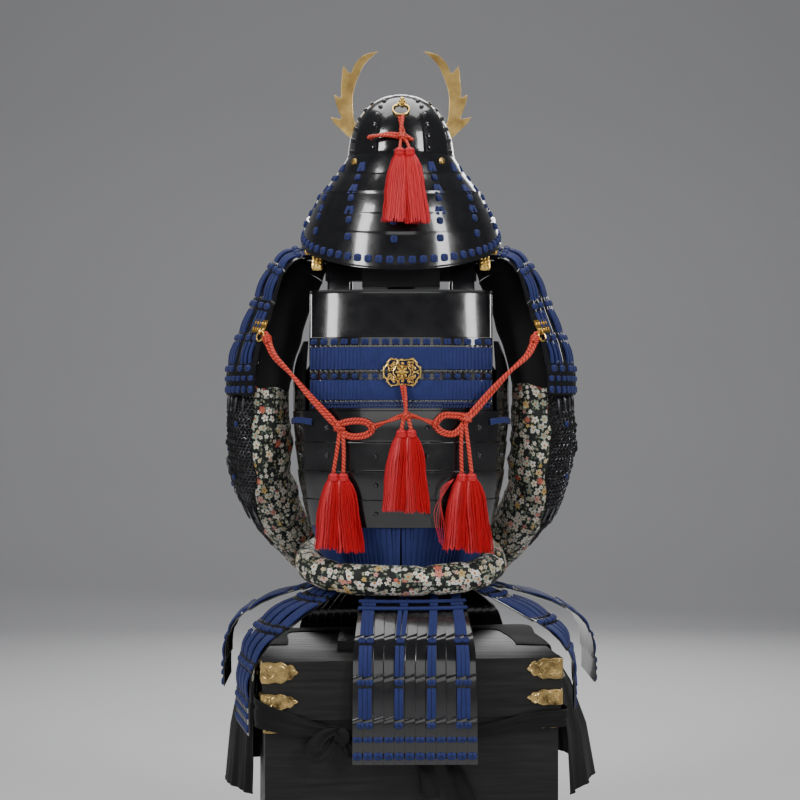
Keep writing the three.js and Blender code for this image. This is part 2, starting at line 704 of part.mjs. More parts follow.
function buildSkirt() {
  const top = WAIST.z - 2.2;
  for (const panel of PANELS) {
    const fall = FALLS[panel.fall].map((row) => ({ share: row.share, z: mix(top, panel.foot, row.drop) }));
    const base = fallingSheet({
      top: (u) => {
        const turn = degrees(mix(panel.from, panel.to, u));
        return point(
          WAIST.halfWidth * power(Math.sin(turn), 2 / ROUND),
          -WAIST.halfDepth * power(Math.cos(turn), 2 / ROUND),
          0,
        );
      },
      bottom: (u) => point(mix(panel.x1, panel.x2, u), mix(panel.y1, panel.y2, u), 0),
      fall,
    });
    const lips = steps(LAMES_PER_PANEL).slice(1, -1);
    const vs = [0, ...lips.flatMap((v) => [v - 0.012, v + 0.004]), 1];
    const columnOf = (u) => panel.lacing * u - Math.floor(panel.lacing * u);
    add(
      panel.name,
      'lacing',
      wall({
        us: steps(panel.columns),
        vs,
        surface: offsetFrom(base, (u, v) => point(0, 0, mix(panel.foot, 300, v))),
        thickness: 2,
        relief: (u, v) => {
          const lame = v * LAMES_PER_PANEL - Math.floor(v * LAMES_PER_PANEL + 1e-9);
          const step = v < 1 / LAMES_PER_PANEL || v === 1 ? 0 : 3.4 * (1 - lame);
          const braid = between(columnOf(u), 0.2, 0.8) && between(v, 0.02, 0.99) ? 2.2 : 0;
          return step + braid;
        },
      }),
    );
  }
}

// Sleeves and shoulder guards

const ARM = [
  { x: 207, y: 6, z: 1300, side: 50, depth: 52 },
  { x: 244.3, y: 4, z: 1228, side: 56, depth: 62 },
  { x: 272.3, y: 2, z: 1150, side: 59, depth: 66 },
  { x: 290.3, y: 2, z: 1072, side: 60, depth: 68 },
  { x: 298, y: 6, z: 1000, side: 66, depth: 68 },
  { x: 297, y: 18, z: 930, side: 66, depth: 66 },
  { x: 292, y: 48, z: 862, side: 62, depth: 62 },
  { x: 270, y: 94, z: 800, side: 57, depth: 56 },
  { x: 241, y: 140, z: 744, side: 51, depth: 50 },
  { x: 212, y: 178, z: 700, side: 46, depth: 45 },
  { x: 184, y: 208, z: 662, side: 43, depth: 42 },
];
const SLEEVE_FOLDS = [
  { at: 0.16, lean: 0.02, height: 3.5, width: 0.03 },
  { at: 0.3, lean: -0.03, height: 3, width: 0.028 },
  { at: 0.42, lean: 0.03, height: 4.5, width: 0.03 },
  { at: 0.52, lean: -0.02, height: 5.5, width: 0.026 },
  { at: 0.61, lean: 0.04, height: 5, width: 0.028 },
  { at: 0.72, lean: -0.03, height: 3.6, width: 0.03 },
  { at: 0.84, lean: 0.02, height: 3, width: 0.03 },
];

function buildSleeves() {
  for (const [side, sideName, slack] of [[-1, 'left', 3.3], [1, 'right', 2.4]]) {
    const centre = (v) => point(side * along(ARM, 'x', v), along(ARM, 'y', v), along(ARM, 'z', v));
    const base = (u, v) => {
      const middle = centre(v);
      const way = centre(v + 0.01).sub(centre(v - 0.01)).normalize();
      const across = point(1, 0, 0).addScaledVector(way, -way.x).normalize();
      const deep = way.clone().cross(across);
      const turn = 2 * Math.PI * u;
      middle.addScaledVector(across, along(ARM, 'side', v) * Math.cos(turn));
      return middle.addScaledVector(deep, along(ARM, 'depth', v) * Math.sin(turn));
    };
    const folds = (u, v) => {
      const turn = 2 * Math.PI * u;
      return SLEEVE_FOLDS.reduce((sum, fold) => {
        const away = (v - fold.at - fold.lean * Math.cos(turn)) / fold.width;
        const reach = 0.35 + 0.65 * Math.sin(turn + 9 * fold.at) ** 2;
        return sum + fold.height * reach * Math.exp(-(away ** 2));
      }, 0);
    };
    const surface = offsetFrom(base, (u, v) => centre(v));
    add(
      `sleeve_${sideName}`,
      'brocade',
      wall({
        us: steps(12),
        vs: steps(13),
        ring: true,
        surface: (u, v, offset) => surface(u, v, offset + folds(u, v) - slack),
        thickness: 2.5,
      }),
    );
  }
}

const GUARD = [
  { out: 151, z: 1325, half: 50, bulge: 0, sag: 8 },
  { out: 204, z: 1343, half: 82, bulge: 10, sag: 24 },
  { out: 250, z: 1330, half: 98, bulge: 24, sag: 26 },
  { out: 286, z: 1280, half: 108, bulge: 40, sag: 20 },
  { out: 316, z: 1208, half: 114, bulge: 54, sag: 12 },
  { out: 342, z: 1150, half: 118, bulge: 62, sag: 4 },
  { out: 358, z: 1095, half: 120, bulge: 66, sag: 0 },
  { out: 362, z: 1040, half: 120, bulge: 66, sag: 0 },
];
const GUARD_LAMES = 6;

function guardPoint(side, u, v) {
  const across = 2 * u - 1;
  return point(
    side * (along(GUARD, 'out', v) - along(GUARD, 'bulge', v) * across * across),
    along(GUARD, 'half', v) * across,
    along(GUARD, 'z', v) - along(GUARD, 'sag', v) * across * across,
  );
}

function buildShoulderGuards() {
  for (const [side, sideName] of [[-1, 'left'], [1, 'right']]) {
    const within = (u, v) => point(side * 150, 0, mix(1240, 1000, v));
    const surface = offsetFrom((u, v) => guardPoint(side, u, v), within);
    const lips = steps(GUARD_LAMES).slice(1, -1);
    const vs = [0, ...lips.flatMap((v) => [v - 0.012, v + 0.004]), 1];
    add(
      `shoulder_guard_${sideName}`,
      'lacing',
      wall({
        us: steps(8),
        vs,
        surface,
        thickness: 2,
        relief: (u, v) => {
          const lame = v * GUARD_LAMES - Math.floor(v * GUARD_LAMES + 1e-9);
          const step = v < 1 / GUARD_LAMES || v === 1 ? 0 : 3 * (1 - lame);
          const column = 4 * u - Math.floor(4 * u);
          return step + (between(column, 0.2, 0.8) && between(v, 0.1, 0.97) ? 2 : 0);
        },
      }),
    );
    const plate = { fromU: 0.03, toU: 0.17, fromV: 0.085, toV: 0.15, seat: 2 + 2 + SEAM };
    add(
      `guard_top_plate_${sideName}`,
      'gilt',
      wall({
        us: steps(2),
        vs: steps(2),
        surface: (u, v, offset) =>
          surface(mix(plate.fromU, plate.toU, u), mix(plate.fromV, plate.toV, v), plate.seat + offset),
        thickness: 1.6,
      }),
    );
    const fitting = wall({
      us: steps(2),
      vs: steps(1),
      surface: (u, v, offset) => surface(mix(0, 0.13, u), mix(0.59, 0.665, v), 6.4 + SEAM + offset),
      thickness: 2,
    });
    const ringSeat = surface(0.01, 0.685, 10);
    const outward = ringSeat.clone().sub(surface(0.01, 0.685, 0)).normalize();
    const ring = new THREE.TorusGeometry(RING.radius, 2, 5, 10);
    ring.applyQuaternion(new THREE.Quaternion().setFromUnitVectors(point(0, 0, 1), outward));
    ring.translate(...ringSeat.toArray());
    RING[sideName] = ringSeat.add(point(-side * (RING.radius + 2.5), -2, 0));
    add(`guard_ring_${sideName}`, 'gilt', joined([fitting, ring]));
  }
}

// Helmet

function bowlPoint(turn, climb, offset) {
  const round = power(Math.cos(climb), 2 / BOWL.squareness);
  return point(
    (BOWL.halfWidth + offset) * Math.sin(turn) * round,
    -(BOWL.halfDepth + offset) * Math.cos(turn) * round,
    BOWL.rim + (BOWL.height + offset) * power(Math.sin(climb), 2 / BOWL.squareness),
  );
}

// A lame of the neck guard: it lies outside the foot of the lame above it.
function neckLame(number) {
  const [above, below] = [NECK_GUARD[number - 1], NECK_GUARD[number]];
  const reach = 118;
  const laps = [0, 0, 0.8, 7, 7, 7];
  const height = (row, turn) => mix(row.backZ, row.sideZ, 1 - Math.cos(turn));
  const last = number === NECK_GUARD.length - 1;
  const columns = last ? 40 : 20;
  const clear = PLATE + SEAM + 0.1;
  return wall({
    us: steps(columns),
    vs: last ? [0, 0.64, 0.8, 0.97] : [0, 1],
    surface: (u, v, offset) => {
      const turn = degrees(mix(-reach, reach, u));
      const [head, foot] = [height(above, turn), height(below, turn)];
      const z = mix(head + laps[number], foot, v);
      const share = (head - z) / (head - foot);
      return point(
        (mix(above.halfWidth + clear, below.halfWidth, share) + offset) * Math.sin(turn),
        -(mix(above.halfDepth + clear, below.halfDepth, share) + offset) * Math.cos(turn),
        z,
      );
    },
    relief: (u, v) => (last && between(v, 0.7, 0.9) ? 3 * Math.abs(Math.sin((Math.PI * columns * u) / 2)) : 0),
  });
}

function buildHelmet() {
  add(
    'helmet_bowl',
    'lacquer',
    wall({
      us: steps(20),
      vs: steps(6),
      ring: true,
      surface: (u, v, offset) => bowlPoint(2 * Math.PI * u, (Math.PI / 2) * v, offset - BOWL.plate),
      thickness: BOWL.plate,
    }),
  );
  for (let i = 1; i < NECK_GUARD.length; i += 1) {
    add(`neck_guard_lame_${i}`, 'lacquer', neckLame(i));
  }
  add(
    'helmet_visor',
    'lacquer',
    wall({
      us: steps(12),
      vs: steps(2),
      surface: (u, v, offset) => {
        const turn = degrees(mix(122, 238, u));
        const reach = SEAM + 52 * v * Math.sin(Math.PI * u) ** 0.7;
        const p = bowlPoint(turn, 0, reach);
        p.z = BOWL.rim + 4 - 26 * v * Math.sin(Math.PI * u) + offset;
        return p;
      },
    }),
  );
  const horn = [
    { x: 48, z: 1789 },
    { x: 86, z: 1777 },
    { x: 110, z: 1741 },
    { x: 125, z: 1757 },
    { x: 129, z: 1727 },
    { x: 131, z: 1688 },
    { x: 145, z: 1695 },
    { x: 142, z: 1679 },
    { x: 130, z: 1642 },
    { x: 153, z: 1646 },
    { x: 137, z: 1625 },
    { x: 110, z: 1600 },
    { x: 72, z: 1576 },
    { x: 30, z: 1566 },
    { x: 30, z: 1586 },
    { x: 62, z: 1597 },
    { x: 90, z: 1617 },
    { x: 102, z: 1640 },
    { x: 105, z: 1689 },
    { x: 97, z: 1723 },
    { x: 82, z: 1757 },
    { x: 62, z: 1779 },
  ];
  const hornPlane = { y: BOWL.halfDepth + 8, plate: 3 };
  for (const [side, sideName] of [[-1, 'left'], [1, 'right']]) {
    const outline = new THREE.Shape(horn.map((row) => new THREE.Vector2(side * row.x, row.z)));
    const plate = new THREE.ExtrudeGeometry(outline, { depth: hornPlane.plate, bevelEnabled: false });
    add(`horn_${sideName}`, 'brass', plate.rotateX(Math.PI / 2).translate(0, hornPlane.y, 0));
  }
  const base = new THREE.Shape(
    [[-60, 1548], [60, 1548], [84, 1576], [96, 1612], [60, 1584], [0, 1574], [-60, 1584], [-96, 1612], [-84, 1576]].map(
      ([x, z]) => new THREE.Vector2(x, z),
    ),
  );
  const basePlate = new THREE.ExtrudeGeometry(base, { depth: 3, bevelEnabled: false });
  basePlate.rotateX(Math.PI / 2).translate(0, hornPlane.y + 3 + SEAM, 0);
  const post = block(26, 10, 16, 0, BOWL.halfDepth + 4.6, 1538);
  add('crest_base', 'brass', joined([basePlate, post]));
  const knobSeat = bowlPoint(degrees(2), degrees(50), 5.6);
  const knob = egg(7, 7, 7, knobSeat.toArray(), 8, 5);
  const ringSeat = bowlPoint(0, degrees(40), 3.3);
  const outward = ringSeat.clone().sub(bowlPoint(0, degrees(40), 0)).normalize();
  const ring = new THREE.TorusGeometry(17, 2.2, 5, 14);
  ring.applyQuaternion(new THREE.Quaternion().setFromUnitVectors(point(0, 0, 1), outward));
  ring.translate(...ringSeat.toArray());
  add('helmet_knob_ring', 'gilt', joined([knob, ring]));
}

// Cords, knots and tassels

// A pair of tassels whose heads touch: strands hang apart from the heads and spread to the foot.
function tasselPair({ heads, foot, spread, strands = 7, headRadius = 10.6 }) {
  const pieces = [];
  heads.forEach((head, which) => {
    const profile = [[0, 14], [0.75 * headRadius, 9], [headRadius, -2], [0.9 * headRadius, -10], [0, -10]];
    const bell = new THREE.LatheGeometry(profile.map(([x, y]) => new THREE.Vector2(x, y)), 7);
    pieces.push(bell.rotateX(Math.PI / 2).translate(...head));
    for (let i = 0; i < strands; i += 1) {
      const inner = i % 3 === 0;
      const angle = (2 * Math.PI * i) / strands + which * 0.4;
      const root = [0.6 * headRadius * Math.cos(angle), 0.6 * headRadius * Math.sin(angle)];
      const reach = inner ? 0.45 : 1;
      const tip = [reach * spread.x * Math.cos(angle), reach * spread.y * Math.sin(angle)];
      const centre = foot[which];
      const places = [
        { share: 0, x: root[0], y: root[1], size: 2 },
        { share: 0.45, x: mix(root[0], tip[0], 0.72), y: mix(root[1], tip[1], 0.72), size: 5 },
        { share: 1, x: tip[0], y: tip[1], size: 4.6 },
      ];
      const rings = places.map((place) => {
        const z = mix(head[2] - 8, centre[2] + 3 * Math.sin(5 * i), place.share);
        const middle = point(mix(head[0], centre[0], place.share), mix(head[1], centre[1], place.share), z);
        return [0, 1, 2].map((k) => {
          const turn = angle + (2 * Math.PI * k) / 3;
          const x = place.x + place.size * Math.cos(turn);
          const y = place.y + place.size * Math.sin(turn);
          return middle.clone().add(point(x, y, 0));
        });
      });
      pieces.push(tube(rings));
    }
  });
  return joined(pieces);
}

const KNOTS = {
  left: { x: -126, y: -143.6, z: 976, loopEnd: -58, loopTop: 986, loopFoot: 958 },
  right: { x: 132, y: -143.6, z: 992, loopEnd: 70, loopTop: 998, loopFoot: 964 },
};

function buildCords() {
  const start = (sideName) => {
    const foot = RING[sideName];
    return [foot.toArray(), [foot.x * 0.96, foot.y - 8, foot.z - 9]];
  };
  const routes = {
    left: [...start('left'), [-256, -142, 1120], [-222, -145, 1083], [-182, -147, 1036], [-137.4, -147, 987.4]],
    right: [...start('right'), [256, -142, 1122], [220, -145, 1088], [184, -147, 1050], [143.4, -147, 1003.4]],
  };
  for (const sideName of ['left', 'right']) {
    add(`cord_${sideName}`, 'cord', cord(routes[sideName], CORD.radius, 9));
    const knot = KNOTS[sideName];
    const inward = Math.sign(knot.loopEnd - knot.x);
    const y = knot.y - 5;
    const loop = cord(
      [
        [knot.x + 2 * inward, y, knot.z + 4],
        [knot.x + 24 * inward, y - 3, knot.loopTop],
        [knot.loopEnd - 14 * inward, y - 3, knot.loopTop - 2],
        [knot.loopEnd, y, mix(knot.loopTop, knot.loopFoot, 0.5)],
        [knot.loopEnd - 14 * inward, y - 3, knot.loopFoot + 2],
        [knot.x + 24 * inward, y - 3, knot.loopFoot],
        [knot.x + 2 * inward, y, knot.z - 6],
      ],
      CORD.radius,
      11,
      6,
    );
    const drops = [-1, 1].map((way) =>
      cord(
        [
          [knot.x + 6 * inward + 3 * way, y, knot.z - 8],
          [knot.x + 4 * inward + 8 * way, y - 2, knot.z - 50],
          [knot.x + 12 * way, y - 4, 884.8],
        ],
        CORD.strand,
        4,
        5,
      ),
    );
    add(`knot_${sideName}`, 'cord', joined([egg(17, 9, 15, [knot.x, y, knot.z], 8, 5), loop, ...drops]));
    add(
      `tassels_${sideName}`,
      'tassel',
      tasselPair({
        heads: [[knot.x - 9.8, y - 4, 870], [knot.x + 9.8, y - 4, 870]],
        foot: [[knot.x - 20, y - 6, 738], [knot.x + 24, y - 6, 732]],
        spread: { x: 24, y: 15 },
      }),
    );
  }
  const middle = { x: 10, y: -157, z: 1000 };
  add(
    'cord_centre',
    'cord',
    joined([
      cord([[4, -160, 1056.8], [8, -159.5, 1030], [10, -159, 1002]], CORD.radius, 3, 6),
      egg(11, 8, 12, [middle.x, middle.y, middle.z - 2], 8, 5),
      cord([[6, -158, 1000], [-22, -158, 988], [-54, -153.2, 975.7]], CORD.strand + 1.2, 3, 6),
      cord([[14, -158, 1000], [36, -158, 993], [65.1, -154.2, 983.3]], CORD.strand + 1.2, 3, 6),
      cord([[8, -159, 994], [4, -161, 982], [1, -163, 971.8]], CORD.strand, 2, 5),
      cord([[13, -159, 994], [17, -161, 982], [20, -163, 971.8]], CORD.strand, 2, 5),
    ]),
  );
  add(
    'tassels_centre',
    'tassel',
    tasselPair({
      heads: [[0.5, -164, 957.7], [20.5, -164, 957.7]],
      foot: [[-12, -168, 812], [32, -168, 810]],
      spread: { x: 24, y: 13 },
    }),
  );
  add(
    'helmet_cord',
    'cord',
    joined([
      cord([[0, -113.4, 1609.4], [1, -118.5, 1595], [2, -124.5, 1580], [3, -128, 1566]], CORD.strand + 1.4, 4, 6),
      egg(10, 7, 9, [3, -129.5, 1562], 8, 5),
      cord([[3, -130, 1565], [-30, -129, 1566], [-62, -119, 1561], [-34, -130, 1556], [3, -131, 1558]], 3.2, 9, 5),
      cord([[3, -131, 1562], [20, -131, 1560], [30, -130, 1552], [16, -133, 1551], [3, -133, 1556]], 3.2, 6, 5),
      cord([[1, -132, 1556], [-1, -143, 1548], [-2, -153, 1539.2]], CORD.strand, 2, 5),
      cord([[6, -132, 1556], [12, -143, 1548], [17, -153, 1539.2]], CORD.strand, 2, 5),
    ]),
  );
  add(
    'tassels_helmet',
    'tassel',
    tasselPair({
      heads: [[-2.5, -153, 1524], [17.5, -153, 1524]],
      foot: [[-14, -223, 1386], [32, -223, 1384]],
      spread: { x: 23, y: 10 },
    }),
  );
}

buildBox();
buildStand();
buildThighGuard();
buildCuirass();
buildBackFitting();
buildWaist();
buildSash();
buildSkirt();
buildSleeves();
buildShoulderGuards();
buildHelmet();
buildCords();

export default armour;
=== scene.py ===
"""Samurai armour on its stand and armour box, seen from behind. Working sizes are in millimetres."""

import math
import random

import bmesh
import bpy
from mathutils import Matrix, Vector


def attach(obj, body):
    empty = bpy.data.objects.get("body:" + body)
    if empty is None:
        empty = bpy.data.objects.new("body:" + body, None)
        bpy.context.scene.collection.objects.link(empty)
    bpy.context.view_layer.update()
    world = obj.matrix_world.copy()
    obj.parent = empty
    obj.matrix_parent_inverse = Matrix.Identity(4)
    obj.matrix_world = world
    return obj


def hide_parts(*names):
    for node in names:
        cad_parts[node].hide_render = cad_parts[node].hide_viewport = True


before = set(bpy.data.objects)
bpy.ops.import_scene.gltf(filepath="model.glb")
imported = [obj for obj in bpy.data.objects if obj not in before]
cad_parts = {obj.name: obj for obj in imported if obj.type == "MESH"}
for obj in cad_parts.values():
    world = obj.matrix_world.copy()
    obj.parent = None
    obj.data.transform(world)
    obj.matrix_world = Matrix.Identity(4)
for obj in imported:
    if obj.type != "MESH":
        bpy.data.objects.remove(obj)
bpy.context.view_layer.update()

MM = 0.001
TAU = 2 * math.pi
UP = Vector((0, 0, 1))
REAR = Vector((0, -1, 0))
SIDES = ((-1, "left"), (1, "right"))

# Camera, at the photograph's viewing angle: level, straight behind the wearer
CAMERA = Vector((-2, -3500, 1030))
camera = bpy.data.objects.new("camera", bpy.data.cameras.new("camera"))
camera.data.lens = 75
camera.data.sensor_width = 36
camera.location = CAMERA * MM
camera.rotation_euler = (math.pi / 2, 0, 0)
bpy.context.scene.collection.objects.link(camera)
bpy.context.scene.camera = camera


# Numbers and tables


def mix(a, b, t):
    return a + (b - a) * t


def power(value, exponent):
    return math.copysign(abs(value) ** exponent, value)


def steps(count):
    return [i / count for i in range(count + 1)]


def between(low, high, count):
    return [mix(low, high, t) for t in steps(count)]


def smooth_step(low, high, value):
    t = min(1, max(0, (value - low) / (high - low)))
    return t * t * (3 - 2 * t)


def along(rows, column, t):
    """One column of a table whose rows are spread evenly over 0 to 1, on a smooth curve."""
    place = min(1, max(0, t)) * (len(rows) - 1)
    i = min(int(place), len(rows) - 2)
    f = place - i
    a, b, c, d = (rows[min(max(k, 0), len(rows) - 1)][column] for k in (i - 1, i, i + 1, i + 2))
    return b + 0.5 * f * (c - a + f * (2 * a - 5 * b + 4 * c - d + f * (3 * (b - c) + d - a)))


def look_up(rows, at, column):
    """One column of a table at a value of its first column, on straight lines."""
    if at <= rows[0][0]:
        return rows[0][column]
    for low, high in zip(rows, rows[1:]):
        if at <= high[0]:
            return mix(low[column], high[column], (at - low[0]) / (high[0] - low[0]))
    return rows[-1][column]


def point_at(rows, t, first=0):
    """Three columns of a table, from the first one on, as a point on a smooth curve."""
    return Vector([along(rows, first + k, t) for k in range(3)])


def curve_through(points, count):
    """A smooth line through points, as evenly many new ones."""
    return [point_at(points, t) for t in steps(count)]


def heading(route, i):
    """The way that a route goes at its point i."""
    return (route[min(i + 1, len(route) - 1)] - route[max(i - 1, 0)]).normalized()


def distances(route):
    """How far along a route each of its points lies."""
    run = [0.0]
    for a, b in zip(route, route[1:]):
        run.append(run[-1] + (b - a).length)
    return run


def swing(first, second, radius, angle):
    """A step as long as the radius, turned by an angle from one direction towards another."""
    return first * (radius * math.cos(angle)) + second * (radius * math.sin(angle))


def ring_route(centre, first, second, radius, count=32):
    return [centre + swing(first, second, radius, TAU * i / count) for i in range(count + 1)]


def bell(away, width):
    """1 in the middle of a ridge or fold, and almost 0 from twice its width away."""
    return math.exp(-((away / width) ** 2))


# Materials


class Finish:
    """A principled material with helpers to wire its nodes."""

    def __init__(self, name, colour, roughness, metallic=0.0, **sockets):
        self.material = bpy.data.materials.new(name)
        self.material.use_nodes = True
        self.tree = self.material.node_tree
        self.shader = self.tree.nodes["Principled BSDF"]
        sockets.update(Base_Color=(*colour, 1), Roughness=roughness, Metallic=metallic)
        for socket, value in sockets.items():
            self.set(self.shader, socket.replace("_", " "), value)

    def set(self, node, socket, value):
        if isinstance(value, bpy.types.NodeSocket):
            self.tree.links.new(value, node.inputs[socket])
        else:
            node.inputs[socket].default_value = value

    def node(self, kind, settings=None, **inputs):
        node = self.tree.nodes.new(kind)
        for key, value in (settings or {}).items():
            setattr(node, key, value)
        for socket, value in inputs.items():
            self.set(node, socket.replace("_", " "), value)
        return node

    def math(self, operation, first, second=0.0, third=0.0):
        node = self.node("ShaderNodeMath", {"operation": operation})
        for i, value in enumerate((first, second, third)):
            self.set(node, i, value)
        return node.outputs[0]

    def uv(self, x=1.0, y=1.0):
        place = self.node("ShaderNodeTexCoord").outputs["UV"]
        node = self.node("ShaderNodeVectorMath", {"operation": "MULTIPLY"})
        self.set(node, 0, place)
        node.inputs[1].default_value = (x, y, 1)
        return node.outputs[0]

    def place(self):
        return self.node("ShaderNodeTexCoord").outputs["Object"]

    def noise(self, scale, detail=3.0, vector=None):
        place = vector or self.place()
        return self.node("ShaderNodeTexNoise", Vector=place, Scale=scale, Detail=detail).outputs["Fac"]

    def ramp(self, value, *stops):
        node = self.node("ShaderNodeValToRGB", Fac=value)
        elements = node.color_ramp.elements
        while len(elements) < len(stops):
            elements.new(0.5)
        for element, (position, colour) in zip(elements, stops):
            element.position = position
            element.color = (*colour, 1)
        return node.outputs["Color"]

    def blend(self, value, first, second):
        node = self.node("ShaderNodeMix", {"data_type": "RGBA"})
        self.set(node, 0, value)
        for i, colour in ((6, first), (7, second)):
            self.set(node, i, colour if isinstance(colour, bpy.types.NodeSocket) else (*colour, 1))
        return node.outputs[2]

    def bump(self, height, strength, distance):
        last = self.shader.inputs["Normal"].links
        node = self.node("ShaderNodeBump", Height=height, Strength=strength, Distance=distance)
        if last:
            self.set(node, "Normal", last[0].from_socket)
        self.set(self.shader, "Normal", node.outputs[0])


def grey(value):
    return (value, value, value)


def lacquer_finish():
    f = Finish("black_lacquer", (0.006, 0.006, 0.007), 0.2, Coat_Weight=0.8, Coat_Roughness=0.08)
    f.set(f.shader, "Roughness", f.ramp(f.noise(30), (0.3, grey(0.15)), (0.75, grey(0.29))))
    f.bump(f.noise(420, 2.0), 0.16, 0.0006)
    f.bump(f.noise(14, 2.0), 0.12, 0.004)
    return f.material


def braid_finish():
    """Flat braid: chevrons along the strip, from its own UV (across 0 to 1, along in widths)."""
    f = Finish("navy_braid", (0.015, 0.027, 0.15), 0.7, Sheen_Weight=0.1, Specular_IOR_Level=0.3)
    across, down, _ = f.node("ShaderNodeSeparateXYZ", Vector=f.uv()).outputs
    lean = f.math("ABSOLUTE", f.math("SUBTRACT", across, 0.5))
    chevron = f.math("FRACT", f.math("MULTIPLY_ADD", down, 4.0, f.math("MULTIPLY", lean, 3.0)))
    ridge = f.math("ABSOLUTE", f.math("SUBTRACT", chevron, 0.5))
    # The chevrons' crests are painted lighter and their grooves darker, in step with the bump: painted shade in
    # the grooves of the braid
    navy_with_groove_shade = f.ramp(ridge, (0.0, (0.013, 0.026, 0.155)), (0.5, (0.004, 0.008, 0.05)))
    wear = f.ramp(f.noise(45), (0.35, (0.8, 0.85, 0.9)), (0.7, (1.2, 1.15, 1.1)))
    colour = f.node("ShaderNodeMix", {"data_type": "RGBA", "blend_type": "MULTIPLY"})
    f.set(colour, 0, 1.0)
    f.set(colour, 6, navy_with_groove_shade)
    f.set(colour, 7, wear)
    f.set(f.shader, "Base Color", colour.outputs[2])
    f.bump(ridge, 0.7, -0.0008)
    return f.material


def twisted_finish(name, light, dark, turns):
    """Twisted cord or threads: slanted strands from UV (round 0 to 1, along in diameters)."""
    f = Finish(name, light, 0.6, Sheen_Weight=0.12, Sheen_Roughness=0.4)
    around, down, _ = f.node("ShaderNodeSeparateXYZ", Vector=f.uv()).outputs
    strand = f.math("FRACT", f.math("MULTIPLY_ADD", down, turns, f.math("MULTIPLY", around, 2.0)))
    ridge = f.math("ABSOLUTE", f.math("SUBTRACT", strand, 0.5))
    # The strands' crests take the light colour and the grooves between them the dark one, in step with the
    # bump: painted shade between the strands
    f.set(f.shader, "Base Color", f.ramp(ridge, (0.05, light), (0.48, dark)))
    f.bump(ridge, 0.8, -0.0012)
    return f.material


def thread_finish():
    f = Finish("crimson_thread", (0.5, 0.003, 0.012), 0.5, Sheen_Weight=0.15, Sheen_Roughness=0.35)
    spread = f.noise(900, 2.0)
    f.set(f.shader, "Base Color", f.ramp(spread, (0.3, (0.3, 0.001, 0.006)), (0.7, (0.72, 0.008, 0.016))))
    return f.material


def metal_finish(name, light, dark, roughness, spots):
    f = Finish(name, light, roughness, 1.0)
    wear = f.noise(spots, 5.0)
    f.set(f.shader, "Base Color", f.ramp(wear, (0.32, dark), (0.62, light)))
    f.set(f.shader, "Roughness", f.ramp(wear, (0.3, grey(roughness + 0.2)), (0.7, grey(roughness))))
    f.bump(f.noise(spots * 4, 2.0), 0.25, 0.0005)
    return f.material


def brocade_finish():
    """Black figured silk strewn with small five-petalled flowers and leaves; UV is in metres."""
    f = Finish("flower_brocade", (0.01, 0.012, 0.011), 0.62, Sheen_Weight=0.06, Specular_IOR_Level=0.25)

    def flowers(scale, petals, size, shift):
        coordinates = f.node("ShaderNodeVectorMath", {"operation": "ADD"})
        f.set(coordinates, 0, f.uv(scale, scale))
        coordinates.inputs[1].default_value = (shift, 0.7 * shift, 0)
        cells = f.node(
            "ShaderNodeTexVoronoi",
            {"voronoi_dimensions": "2D"},
            Vector=coordinates.outputs[0],
            Scale=1.0,
            Randomness=0.75,
        )
        away = f.node("ShaderNodeVectorMath", {"operation": "SUBTRACT"})
        f.set(away, 0, coordinates.outputs[0])
        f.set(away, 1, cells.outputs["Position"])
        x, y, _ = f.node("ShaderNodeSeparateXYZ", Vector=away.outputs[0]).outputs
        pick = f.node("ShaderNodeSeparateColor", Color=cells.outputs["Color"]).outputs
        turn = f.math("MULTIPLY_ADD", pick[2], TAU, f.math("ARCTAN2", y, x))
        wave = f.math("ABSOLUTE", f.math("COSINE", f.math("MULTIPLY", turn, petals / 2)))
        reach = f.math("MULTIPLY", f.math("MULTIPLY_ADD", wave, 0.5, 0.5), size)
        inside = f.math("LESS_THAN", cells.outputs["Distance"], reach)
        heart = f.math("LESS_THAN", cells.outputs["Distance"], 0.26 * size)
        return inside, heart, pick[0], pick[1]

    grain = f.noise(900, 1.0, f.uv())
    ground = f.ramp(f.noise(26, 3.0, f.uv()), (0.35, (0.004, 0.005, 0.005)), (0.7, (0.016, 0.022, 0.018)))
    leaf_in, _, leaf_pick, leaf_show = flowers(105, 2, 0.4, 5.3)
    leaf = f.ramp(leaf_pick, (0.0, (0.07, 0.1, 0.07)), (0.5, (0.2, 0.22, 0.15)), (1.0, (0.34, 0.33, 0.22)))
    colour = f.blend(f.math("MULTIPLY", leaf_in, f.math("GREATER_THAN", leaf_show, 0.35)), ground, leaf)
    palette = (
        (0.0, (0.8, 0.8, 0.72)),
        (0.26, (0.7, 0.68, 0.56)),
        (0.4, (0.3, 0.36, 0.27)),
        (0.52, (0.74, 0.74, 0.68)),
        (0.64, (0.5, 0.05, 0.03)),
        (0.7, (0.78, 0.77, 0.7)),
        (0.84, (0.24, 0.3, 0.24)),
        (0.93, (0.62, 0.42, 0.12)),
        (1.0, (0.75, 0.72, 0.6)),
    )
    for scale, size, shift, keep in ((74, 0.42, 11.9, 0.5), (45, 0.46, 0.0, 0.4)):
        inside, heart, pick, show = flowers(scale, 5, size, shift)
        shown = f.math("GREATER_THAN", show, keep)
        petal = f.ramp(pick, *palette)
        petal = f.blend(heart, petal, (0.5, 0.18, 0.03))
        colour = f.blend(f.math("MULTIPLY", inside, shown), colour, petal)
    f.set(f.shader, "Base Color", f.blend(f.math("MULTIPLY", grain, 0.35), colour, (0.008, 0.009, 0.009)))
    diagonal = {"bands_direction": "DIAGONAL"}
    weave = f.node("ShaderNodeTexWave", diagonal, Vector=f.uv(), Scale=420.0, Distortion=1.0)
    f.bump(weave.outputs["Fac"], 0.25, 0.0004)
    f.bump(f.noise(120, 3.0, f.uv()), 0.25, 0.0015)
    return f.material


